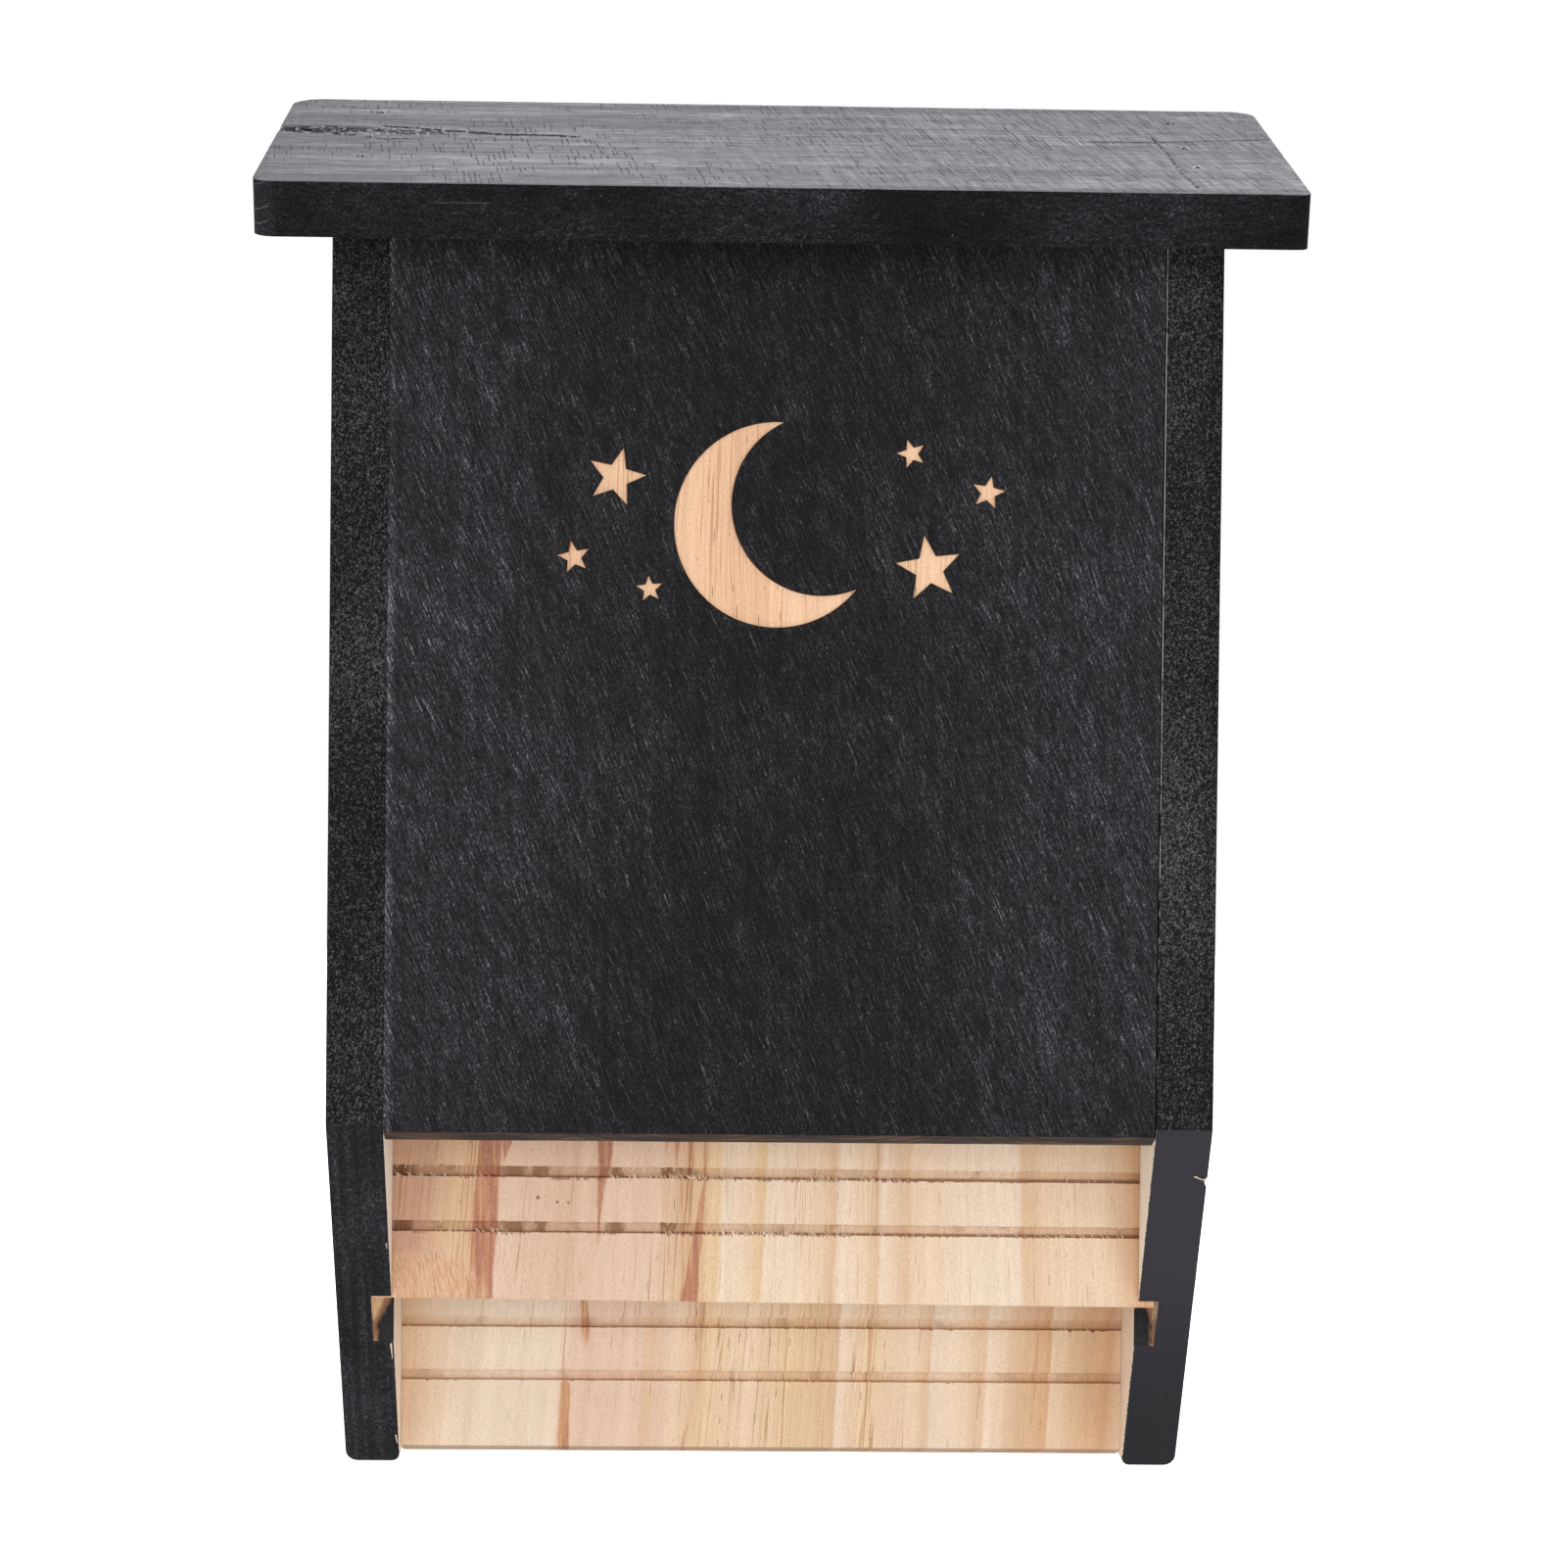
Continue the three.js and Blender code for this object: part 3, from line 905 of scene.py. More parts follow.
def splinters(face_y, levels, half, seed, per_kerf):
    """Fine fibres that stand up from the kerfs' lips, as one bmesh."""
    draw = random.Random(seed)
    shape = bmesh.new()
    for row, (low, high) in enumerate(levels):
        for _ in range(per_kerf):
            x = draw.uniform(-half, half)
            at_low = draw.random() < 0.88
            crowd = own_noise(x / MM * 0.03, row * 2.3, seed) + draw.uniform(-0.6, 0.1)
            if row < len(comb_middles):
                crowd += 0.75 * max(0.0, 1 - abs(x - comb_middles[row]) / comb_reach)
            if crowd < 0:
                continue
            length = draw.uniform(0.7, 1.8) * MM
            lean = draw.gauss(-0.45, 0.3)
            up = 1 if at_low else -1
            ahead = Vector((lean, -draw.uniform(0.0, 0.35), up)).normalized()
            root = Vector((x, face_y + draw.uniform(0.02, 0.3) * MM, low if at_low else high))
            add_fibre(shape, root, ahead, length, fibre_thickness)
    return marked(shape, SPLINTER)


print("kerfs on the partition:", len(kerf_levels(partition_low.z, partition_high.z)))

# %% Partition
partition_lean = math.radians(0.2)
partition_foot_tilt = 0.33 * MM
visible_kerfs = 5


def partition_shape(low, high):
    levels = kerf_levels(low.z, high.z)
    shape = board([
        (low.y, low.z), (high.y, low.z), (high.y, high.z), (low.y, high.z),
        *notches(low.y, levels)], low.x, high.x)
    middle = Matrix.Translation((low + high) / 2)
    lean = middle @ Matrix.Rotation(partition_lean, 4, "Y") @ middle.inverted()
    holes = joined([*brad_holes("partition", -1), *brad_holes("partition", 1)])
    bmesh.ops.transform(holes, verts=holes.verts, matrix=lean.inverted())
    shape = take_out(shape, holes)
    slice_up(shape, 0, lip_slice, low.x, high.x)
    tear_lips(shape, low.y, levels, seed=3)
    for corner in shape.verts:
        if corner.co.z < low.z + MM:
            x = corner.co.x / MM
            corner.co.z -= partition_foot_tilt * corner.co.x / high.x
            corner.co.z += 0.16 * MM * own_noise(x * 1.2, corner.co.y / MM, 4)
    shape = joined([shape, splinters(low.y, levels[:visible_kerfs], side_low.x - MM, 21, 620)])
    bmesh.ops.transform(shape, verts=shape.verts, matrix=lean)
    return shape


partition_board = partition_shape(partition_low, partition_high)
print("partition", len(partition_board.faces), "faces")

# %% [markdown]
# The back board carries the keyhole slot: a screw's head goes in at the round end, and the box
# drops until the neck of the screw sits in the narrow part, with the head behind a lip of wood.

# %% Back board
keyhole_head = 11 * MM
keyhole_neck = 5.5 * MM
keyhole_lip = 4.5 * MM
keyhole_depth = 7.5 * MM
keyhole_travel = 14 * MM
keyhole_drop = 50 * MM
half_turn_steps = 24


def slot_outline(width, low, high):
    return [
        *arc((0, high), width / 2, 0, math.pi, half_turn_steps),
        *arc((0, low), width / 2, math.pi, 2 * math.pi, half_turn_steps)]


def back_shape(low, high):
    rise = (high.y - low.y) * roof_rise
    foot, top = low.z + rise, high.z - rise
    levels = kerf_levels(foot, top)
    shape = board([
        (low.y, foot), (high.y, low.z), (high.y, high.z), (low.y, top),
        *notches(low.y, levels)], low.x, high.x)
    end = high.z - keyhole_drop - keyhole_head / 2
    entry = end - keyhole_travel
    hole = arc((0, entry), keyhole_head / 2, 0, 2 * math.pi, 2 * half_turn_steps)
    for outline, from_y, to_y in (
        (hole, -keyhole_depth, overrun),
        (slot_outline(keyhole_neck, entry, end), -keyhole_depth, overrun),
        (slot_outline(keyhole_head, entry, end), -keyhole_depth, -keyhole_lip),
    ):
        shape = take_out(shape, upright(outline, from_y, to_y))
    shape = take_out(shape, joined([*brad_holes("back", -1), *brad_holes("back", 1)]))
    slice_up(shape, 0, lip_slice, low.x, high.x)
    tear_lips(shape, low.y, levels, seed=5)
    return joined([shape, splinters(low.y, levels[:visible_kerfs], high.x - MM, 34, 90)])


back_board = back_shape(back_low - tight, back_high + tight)
print("back board", len(back_board.faces), "faces")

# %% [markdown]
# ## Bare pine
# The unfinished boards are edge-glued from staves of planed pine. In a trunk, a year's growth is a
# ring: pale spring wood, then a darker line of summer wood. A board cuts those rings lengthwise, so
# its face shows bands along the grain. The lists below name those bands from left to right, each
# with a tint and with a share of fine dark lines. The bands lean, because the trunk was sawn at a
# slant. Resin canals show as short brown strokes, and heartwood as a few reddish streaks.

# %% Pine
pine_pale = to_linear(241, 219, 198)
pine_fresh = to_linear(237, 210, 182)
pine_pink = to_linear(230, 199, 177)
pine_rose = to_linear(221, 187, 163)
pine_chalk = to_linear(235, 214, 192)
pine_dull = to_linear(208, 168, 142)
pine_yellow = to_linear(232, 201, 163)
pine_tan = to_linear(225, 190, 156)
pine_orange = to_linear(214, 170, 131)
pine_red = to_linear(166, 104, 82)
pine_rust = to_linear(190, 128, 98)
pine_line = to_linear(172, 116, 74)
pine_brown = to_linear(128, 80, 52)
# Inside the kerfs: a tint that is dirt and painted shade, and a colour for dirt, stains and painted
# shade
kerf_shade_and_dirt_tint = (0.93, 0.88, 0.83, 1)
kerf_stain_and_shade = (0.50, 0.39, 0.30, 1)
# Painted shade in the torn teeth below the kerfs' lower lips
tooth_shade = to_linear(134, 92, 66)
shade_low = (0.87, 0.84, 0.79, 1)
shade_high = (1.07, 1.08, 1.09, 1)
# Painted light for the back board under the partition
painted_fill_light = (1.10, 1.12, 1.14, 1)
# Painted shade on a kerfed board's downward-facing sawn foot
foot_end_shade = 0.8


def banded(f, across, bands):
    """Colour and share of dark lines from a list of stops: (place in mm, tint, share of lines)."""
    first, last = bands[0][0], bands[-1][0]
    stops = [((place - first) / (last - first), (*tint[:3], lines)) for place, tint, lines in bands]
    colour = f.ramp(f.span(across, first, last, 0.0, 1.0, smooth=False), stops)
    return colour, colour.node.outputs["Alpha"]


def hairlines(f, across, along, pitch, length, seed, thin=0.035, share=0.5):
    """Fine wavering lines: the places where a stretched noise passes one half."""
    wave, patch = (
        f.noise(f.point(f.over(across, wide * pitch), seed + more, f.over(along, tall * length)), 1)
        for wide, more, tall in ((1, 0, 1), (5, 3, 0.8)))
    line = f.fall(f.away(wave, 0.5), 0.0, thin)
    start = f.times_plus(share, -0.36, 0.64)
    return f.times(line, f.span(patch, start, f.plus(start, 0.14)))


def streak(f, top, foot, rough, soft=0.4):
    """A heartwood streak: top and foot are (height, middle, half width) in mm, rough its edge."""
    (high, top_middle, top_half), (low, foot_middle, foot_half) = top, foot
    middle = f.span(f.z, low, high, foot_middle, top_middle, smooth=False)
    half = f.span(f.z, low, high, foot_half, top_half, smooth=False)
    away = f.away(f.plus(f.x, rough), middle)
    return f.fall(f.minus(away, half), -soft, soft)


def heartwood(f, base, streaks, seed, tints=(pine_red, pine_rust, pine_orange)):
    """Heartwood streaks on top of a colour, each with a soft orange fringe."""
    wobble = f.drawn(f.x, f.z, seed, 0.4, 0.07, 3)
    wobble = f.times(f.minus(wobble, 0.5), 2.6)
    thread = f.drawn(f.x, f.z, 3.3, 0.9, 0.05, 4, 0.65)
    cores = fringes = None
    for top, foot in streaks:
        core = streak(f, top, foot, wobble)
        fringe = streak(f, top, foot, f.plus(wobble, 0.5), 1.5)
        cores = core if cores is None else f.most(cores, core)
        fringes = fringe if fringes is None else f.most(fringes, fringe)
    base = f.blend(f.times(fringes, 0.5), base, pine_orange)
    heart = f.ramp(thread, list(zip((0.40, 0.54, 0.72), tints)))
    fuzz = f.drawn(f.x, f.z, seed, 2.2, 0.9, 2, 0.7)
    return f.blend(f.times(cores, f.span(fuzz, 0.3, 0.65, 1.0, 0.72)), base, heart)


def pine_colour(f, across, deep, bands, seed):
    """Colour and relief of bare pine, for a grain that runs along Z and bands that lie across it."""
    wobble = f.drawn(across, f.z, seed, 0.06, 0.02, 3)
    swayed = f.sum(across, (wobble, 3.0))
    tint, lines = banded(f, swayed, bands)
    drift = f.drawn(swayed, f.z, seed + 4, 0.35, 0.01, 2)
    fibres = f.drawn(swayed, f.z, deep, 2.4, 0.16, 3, 0.65)
    fuzz = f.drawn(across, f.z, f.times(deep, 2.1), 2.1, 1.1, 2, 0.7)
    shade = f.sum(0.5, (fibres, 1.2), (fuzz, 1.9), (drift, 1.0))
    base = f.tinted(tint, f.ramp(shade, [(0.1, shade_low), (0.9, shade_high)]))
    fine = hairlines(f, swayed, f.z, 1.3, 90.0, seed + 2, 0.034, lines)
    canals = f.ticks(across, f.z, 0.36, 4.5, (3.0, 7.5), seed=seed + 0.37, share=0.42)
    hairs = f.ticks(across, f.z, 0.34, 16.0, (6.0, 20.0), seed=seed + 0.71, share=0.4)
    lined = f.most(f.times(fine, 0.6), f.times(hairs, 0.62))
    base = f.blend(lined, base, pine_line)
    canals = f.times(canals, f.span(lines, 0.15, 0.6, 0.22, 0.9))
    return f.blend(canals, base, pine_brown), fibres, f.most(lined, canals)


def pine_skin(f, colour, fibres, marks):
    """Plugs colour and relief into the skin of a planed, unvarnished board."""
    fuzz = f.mist(1.6, 2)
    grain = f.bump(fibres, 0.10 * MM)
    grain = f.bump(fuzz, 0.09 * MM, grain)
    grain = f.bump(f.minus(1.0, marks), 0.01 * MM, grain)
    f.coat({"Base Color": colour, "Roughness": 0.62, "Specular IOR Level": 0.25, "Normal": grain})
    return f.material


# Growth bands as stops along X in mm: two stops close together make the sharp end of a band
partition_bands = [
    (-102, pine_dull, 0.5), (-94, pine_dull, 0.6), (-86, pine_tan, 0.5), (-81, pine_tan, 0.5),
    (-72.5, pine_pink, 0.1), (-71, pine_pink, 0.3), (-54, pine_rose, 0.3),
    (-43, pine_pink, 0.2), (-31, pine_pink, 0.4), (-22, pine_tan, 0.6), (-16.7, pine_tan, 0.6),
    (-16.3, pine_yellow, 0.1), (-13, pine_yellow, 0.1), (-12, pine_pale, 0.1), (-4.2, pine_fresh, 0.2),
    (-3, pine_yellow, 0.1), (-0.8, pine_yellow, 0.2), (0, pine_pale, 0.2), (14, pine_fresh, 0.6),
    (18.5, pine_tan, 0.4), (19.5, pine_pale, 0.3), (27, pine_fresh, 0.4), (30.3, pine_tan, 0.3),
    (30.8, pine_pale, 0.2), (38.8, pine_tan, 0.2), (39.3, pine_fresh, 0.3), (60, pine_pale, 0.1),
    (69, pine_pale, 0.1), (69.5, pine_tan, 0.2), (78, pine_fresh, 0.4), (92, pine_fresh, 0.3),
    (102, pine_orange, 0.3)]
back_bands = [
    (-102, pine_tan, 0.1), (-94, pine_fresh, 0.1), (-84, pine_chalk, 0.25), (-56.8, pine_chalk, 0.2),
    (-54, pine_pink, 0.2), (-34, pine_pink, 0.5),
    (-33, pine_tan, 0.4), (-28, pine_pink, 0.3), (-24, pine_fresh, 0.3), (-19, pine_tan, 0.7),
    (-17.4, pine_yellow, 0.7), (-4, pine_fresh, 0.8), (8, pine_yellow, 0.7),
    (21, pine_tan, 0.5), (21.5, pine_pale, 0.1), (24.5, pine_fresh, 0.9), (30.5, pine_yellow, 0.9),
    (36, pine_fresh, 0.3), (44, pine_fresh, 0.2), (46.9, pine_tan, 0.3), (47.4, pine_chalk, 0.1),
    (58, pine_fresh, 0.2), (62.8, pine_tan, 0.5), (63.3, pine_pale, 0.1), (72, pine_tan, 0.3),
    (80.5, pine_orange, 0.3), (81, pine_fresh, 0.2), (88, pine_tan, 0.2), (97, pine_orange, 0.3),
    (102, pine_fresh, 0.1)]
side_pale = to_linear(248, 227, 206)
side_painted_white = to_linear(255, 244, 230)
# Painted light: the whitest stops mostly fall on the inner faces in front of the partition, where the
# front board and partition shade them; the other stops are growth bands
side_bands = [
    (-150, side_painted_white, 0.1), (-138, side_pale, 0.1), (-20, side_painted_white, 0.2), (34, side_painted_white, 0.1),
    (52, side_pale, 0.1), (150, pine_pale, 0.3)]
carved_light = to_linear(240, 199, 165)
carved_dark = to_linear(228, 184, 149)
carved_bands = [
    (-62, carved_dark, 0.6), (-30, carved_light, 0.7), (-2, carved_dark, 0.6),
    (-1.6, carved_light, 0.6), (62, carved_light, 0.7)]


def flecked_foot(f, colour, foot, seed):
    """The partition's lower left corner, where the saw tore the grain across a burl."""
    edge = f.drawn(f.x, f.z, seed + 8, 0.3, 0.15, 3)
    corner = f.times(f.fall(f.x, -88.0, -68.0), f.fall(f.z, foot + 6, foot + 20))
    corner = f.span(f.sum(corner, (edge, 1.1)), 0.25, 0.75)
    leaning = f.times_plus(f.z, 0.22, f.x)
    torn = f.ticks(leaning, f.z, 0.36, 6.0, (0.75, 2.6), seed=seed + 0.2, share=0.8)
    burnt = f.ticks(leaning, f.z, 0.42, 5.0, (1.0, 2.8), seed=seed + 0.6, share=0.75)
    colour = f.blend(f.times(corner, 0.65), colour, pine_orange)
    flecks = f.times(f.fall(f.x, -60.0, -46.0), f.fall(f.z, foot + 12, foot + 20))
    flecks = f.times(f.times(flecks, f.span(edge, 0.35, 0.6)), burnt)
    colour = f.blend(f.times(flecks, 0.65), colour, pine_rust)
    colour = f.blend(f.times(f.times(corner, burnt), 0.75), colour, pine_rust)
    return f.blend(f.times(f.times(corner, torn), 0.6), colour, pine_pale)


def kerf_teeth(f, colour, level, face_y, foot, seed):
    """Small dark teeth below a kerf's lower lip: painted shade in the gaps where the saw tore it."""
    teeth = f.drawn(f.x, f.z, seed, 1.3, 0.25, 2)
    toothed = f.drawn(f.x, f.z, seed + 3, 0.05, 0.08, 1)
    toothed = f.plus(toothed, f.span(f.away(f.x, 12.0), 20.0, 60.0, 0.14, 0.0))
    reach = f.times(f.span(teeth, 0.44, 0.6, 0.0, 0.75), f.span(toothed, 0.5, 0.58))
    tooth = f.times(f.span(f.plus(level, reach), 0.0, 0.2), f.span(level, 0.1, 0.2, 0.7, 0.0))
    for mask in (
        f.span(reach, 0.05, 0.15), f.fall(f.y, face_y + 0.25, face_y + 0.35),
        f.span(f.z, foot + 10.0, foot + 11.0),
    ):
        tooth = f.times(tooth, mask)
    return f.blend(tooth, colour, tooth_shade)


def kerfed_pine(
        name, bands, face_y, foot, lean, streaks, knots, seed, flecked=False, patches=(), kerf_dirt_and_shade=1.0,
        **heart):
    """Bare pine on a board with kerfs: inside a kerf it is darker, as dirt and painted shade, with a
    dark corner of painted shade.
    """
    f = Finish(name)
    # The bands lean by so much on the left and by so much on the right, in mm across a mm of height
    slant = f.span(f.x, -90.0, 90.0, *lean, smooth=False)
    up = f.minus(f.z, foot + 18.0)
    across = f.minus(f.x, f.times(up, slant))
    across = f.times_plus(f.minus(f.y, face_y), 0.2, across)
    colour, fibres, marks = pine_colour(f, across, f.y, bands, seed)
    colour = heartwood(f, colour, streaks, seed, **heart)
    for x, z, size in knots:
        away = f.length(f.point(f.minus(f.x, x), 0.0, f.minus(f.z, z)))
        colour = f.blend(f.span(away, 0.3 * size, size, 0.85, 0.0), colour, pine_brown)
    if flecked:
        colour = flecked_foot(f, colour, foot, seed)
    # Painted shade and dirt: the floor and walls of each kerf get a darker tint
    inside = f.span(f.y, face_y + 0.35, face_y + 1.6)
    behind = f.fall(f.y, face_y + 2.2, face_y + 3.0)
    inside = f.times(f.times(inside, behind), kerf_dirt_and_shade)
    colour = f.blend(inside, colour, f.tinted(colour, kerf_shade_and_dirt_tint))
    grime = f.drawn(f.x, f.z, seed, 0.11, 0.07, 3, 0.6)
    level = f.minus(f.z, foot + first_kerf / MM)
    level = f.minus(level, f.times(f.math("ROUND", f.over(level, kerf_pitch / MM)), kerf_pitch / MM))
    # Painted shade: a dark line along each kerf's lower corner. The grime noise and the patches below
    # add real dirt and stains to it
    corner = f.span(f.plus(level, f.times(grime, -0.5)), -0.1, 0.35, 0.85, 0.0)
    shade_and_stain = f.most(corner, f.span(grime, 0.5, 0.72, 0.0, 0.8))
    if flecked:
        colour = kerf_teeth(f, colour, level, face_y, foot, seed)
    ragged = f.drawn(f.x, f.z, seed, 0.5, 0.2, 3, 0.6)
    for middle, half in patches:
        away = f.away(f.times_plus(ragged, 7.0, f.x), middle + 3.5)
        shade_and_stain = f.most(shade_and_stain, f.fall(away, 0.3 * half, 1.4 * half))
    colour = f.blend(f.times(inside, shade_and_stain), colour, f.tinted(colour, kerf_stain_and_shade))
    # Painted light: the back board turns paler from 12 mm above its foot upwards, where the partition
    # shades it
    if not flecked:
        paler = f.span(f.z, foot + 12.0, foot + 32.0, 0.0, 1.0)
        colour = f.tinted(colour, f.ramp(paler, [(0.0, (1, 1, 1, 1)), (1.0, painted_fill_light)]))
    # Painted shade: the sawn foot, which faces down, is darkened with the kerf colour
    foot_end_shade_mask = f.span(f.z, foot - 0.9, foot - 0.25, foot_end_shade, 0.0)
    colour = f.blend(foot_end_shade_mask, colour, f.tinted(colour, kerf_stain_and_shade))
    return pine_skin(f, colour, fibres, marks)


# Heartwood on the partition and the back board: (height, middle, half width) above and below
feet_mm = feet / MM
# The back board's foot is higher in front by so many mm
back_rise = 3.2
partition_streaks = [
    ((feet_mm + 94, -74.9, 3.1), (feet_mm + 51, -77.6, 3.4)),
    ((feet_mm + 94, -70.4, 1.2), (feet_mm + 84, -71.6, -1.0)),
    ((feet_mm + 94, -43.9, 2.0), (feet_mm + 50, -46.9, -1.2)),
    ((feet_mm + 95, -26.8, 0.3), (feet_mm + 84, -27.1, -0.6)),
    ((feet_mm + 95, -24.4, 0.5), (feet_mm + 80, -24.8, -0.6)),
    ((feet_mm + 93, -21.1, 0.4), (feet_mm + 66, -22.7, 0.1)),
    ((feet_mm + 84, -16.6, 0.3), (feet_mm + 47, -21.6, 2.4)),
]
back_streaks = [
    ((feet_mm + 37, -49.9, 1.1), (feet_mm + 27.5, -49.0, -0.8)),
    ((feet_mm + 46, -55.2, -0.1), (feet_mm + 25, -55.8, 0.1)),
    ((feet_mm + 24.5, -55.4, -2.0), (feet_mm + 21.5, -55.6, 1.3)),
    ((feet_mm + 40, -16.6, 0.2), (feet_mm + 18, -18.0, -0.2)),
    ((feet_mm + 20, -18.6, -0.4), (feet_mm + 4, -21.6, 0.3)),
]
back_tints = to_linear(178, 116, 82), to_linear(200, 146, 100), pine_orange
# Stained places in the partition's kerfs: (middle, half width), and its knots: (x, z, radius)
kerf_patches = [(-98.5, 3), (-68.5, 4.2), (-61.5, 2.4), (-41, 2.6), (-26.6, 2)]
pin_knots = [(-61.9, feet_mm + 78.9, 0.75), (-56.7, feet_mm + 77.7, 0.6), (-53.7, feet_mm + 77.6, 0.5)]
pine_partition = kerfed_pine(
    "pine_partition", partition_bands, partition_low.y / MM, partition_low.z / MM, (0.10, -0.05),
    partition_streaks, pin_knots, 1.0, flecked=True, patches=kerf_patches)
pine_back = kerfed_pine(
    "pine_back", back_bands, back_low.y / MM, back_low.z / MM + back_rise, (0.07, 0.05), back_streaks,
    [], 6.0, kerf_dirt_and_shade=0.5, tints=back_tints)


def plain_pine(name, across_of, deep_of, bands, seed, stained_joint=False):
    f = Finish(name)
    colour, fibres, marks = pine_colour(f, across_of(f), deep_of(f), bands, seed)
    if stained_joint:
        in_front = f.fall(f.y, front_low.y / MM + 3, front_low.y / MM + 5)
        over_cut = f.span(f.z, front_low.z / MM + 2, front_low.z / MM + 3)
        colour = f.blend(f.times(in_front, over_cut), colour, to_linear(20, 20, 22))
    return pine_skin(f, colour, fibres, marks)


def raw_fibre(name, low, high, scale=0.8):
    """The pale torn fibres that a saw leaves."""
    f = Finish(name)
    mist = f.mist(scale, 2)
    colour = f.ramp(mist, [(0.35, to_linear(*low)), (0.65, to_linear(*high))])
    return pine_skin(f, colour, mist, mist)


pine_carved = plain_pine("pine_carved", lambda f: f.x, lambda f: f.y, carved_bands, 11.0)
pine_side = plain_pine(
    "pine_side", lambda f: f.plus(f.y, f.times(f.x, 0.9)),
    lambda f: f.times(f.x, 0.3), side_bands, 15.0, stained_joint=True)
torn_fibre = raw_fibre("raw_fibre", (228, 200, 170), (248, 230, 208))
roof_fibre = raw_fibre("stained_fibre", (138, 134, 134), (226, 220, 212))
raw_arris = raw_fibre("raw_arris", (70, 62, 56), (238, 222, 204), 1.1)
print("pine finishes:", pine_partition.name, pine_back.name, pine_carved.name, pine_side.name)

# %% [markdown]
# ## Black stain
# The outside is brushed with thin black stain. It soaks in and dries matt, so the wood's fibres,
# pores and every scratch of the sander still show through, some paler and some darker. Smooth
# faces show long fine scratches that run down to the right. The front board's middle and lower
# part are darkened as painted shade. Sawn edges drink more stain and stay fuzzy, so they show a
# coarse speckle.

# %% Stain helpers
stain_deep = to_linear(13, 13, 14)
stain_dark = to_linear(22, 22, 24)
stain_middle = to_linear(39, 38, 42)
stain_pale = to_linear(66, 65, 71)
stain_worn = to_linear(128, 125, 128)
stain_brown = to_linear(76, 61, 53)
stain_ramp = [
    (0.0, stain_deep), (0.25, stain_dark), (0.5, stain_middle), (0.75, stain_pale), (1.0, stain_worn)]


def stain_skin(f, colour, relief, depth, roughness=0.62, gloss=0.12):
    f.coat({
        "Base Color": colour, "Roughness": roughness, "Specular IOR Level": gloss,
        "Normal": f.bump(relief, depth)})
    return f.material


def grains(f, scale, stretch=(1, 1, 1), seed=0.0, detail=2, rough=0.5):
    """Noise on all three coordinates, with so many grains to a millimetre."""
    return f.noise(f.point(*(
        f.times_plus(axis, scale * share, seed) for axis, share in zip((f.x, f.y, f.z), stretch)
    )), detail, rough)


# Where the front board's staves were glued together, in mm from its middle
glue_line = 0.6


def stained_face(name, sanding, seed, joint_glue_and_painted_shade=False):
    """A planed and stained face; sanding is the slope angle of its scratches."""
    f = Finish(name)
    c, s = math.cos(sanding), math.sin(sanding)
    sway = f.drawn(f.x, f.z, seed, 0.008, 0.008, 1)
    across = f.plus(f.times(f.x, s), f.times(f.z, c))
    across = f.times_plus(f.minus(sway, 0.5), 8.0, across)
    across = f.times_plus(f.y, 0.7, across)
    along = f.minus(f.times(f.z, s), f.times(f.x, c))
    brushed = f.drawn(across, along, seed, 2.8, 0.13, 3, 0.6)
    bands = f.drawn(across, along, seed, 0.14, 0.018, 2)
    speckle = grains(f, 2.2, (1, 1, 0.6), seed, 2, 0.8)
    blotches = grains(f, 0.022, seed=seed, detail=3, rough=0.6)
    grain = grains(f, 0.45, (1, 1, 0.035), seed, 2)
    height = f.sum(0.388, (brushed, 1.65), (bands, 0.35), (speckle, 1.6), (blotches, 0.3), (grain, 0.3))
    scratched = hairlines(f, across, along, 1.1, 15.0, seed)
    crossed = hairlines(f, f.times_plus(along, 0.05, across), along, 1.9, 22.0, seed + 5, 0.03)
    ticks = f.ticks(across, along, 0.36, 6.0, (1.9, 6.5), seed=seed + 0.6, share=0.35)
    dark = f.ticks(across, along, 0.45, 6.0, (1.9, 6.0), seed=seed + 0.9, share=0.5)
    height = f.sum(
        height, (f.plus(scratched, 0.5), 0.16), (f.plus(crossed, 0.5), 0.16),
        (f.plus(ticks, 0.5), 0.18), (f.plus(dark, 0.5), -0.16))
    if joint_glue_and_painted_shade:
        from_joint = f.span(f.plus(f.x, side_high.x / MM - 15), 0.0, 3.6, 1.0, 0.5)
        height = f.times_plus(f.minus(from_joint, 0.5), f.span(
            f.plus(blotches, f.span(f.z, -50.0, 150.0, 0.2, -0.1)), 0.35, 0.6, 0.15, 0.5), height)
        glued = f.span(f.away(f.x, glue_line), 0.0, 0.35, 0.44, 0.5)
        # Painted shade: the front board is darker towards its middle and along its lower part
        painted_shade_outwards = f.span(f.size(f.x), 15.0, 90.0)
        lower = f.span(f.z, -70.0, -35.0, 0.45, 0.5)
        height = f.sum(height, (glued, 1.0), (painted_shade_outwards, 0.06), (lower, 1.0))
    colour = f.ramp(height, stain_ramp)
    # Painted shade: this tint darkens the middle of the front board
    if joint_glue_and_painted_shade:
        colour = f.tinted(colour, f.ramp(painted_shade_outwards, [
            (0.0, (0.70, 0.70, 0.70, 1)), (1.0, (1.05, 1.05, 1.05, 1))]))
    dots = f.ticks(f.plus(f.x, f.y), f.z, 0.45, 0.8, (10.0, 10.0), seed=seed + 0.3, share=0.35)
    colour = f.blend(f.times(dots, 0.8), colour, stain_worn)
    return stain_skin(f, colour, height, 0.10 * MM)


# The roof's front left corner was knocked, and one long scratch runs along its front edge, in mm
knocked_from = -129.5
long_scratch = (-90, -72, 169.3)


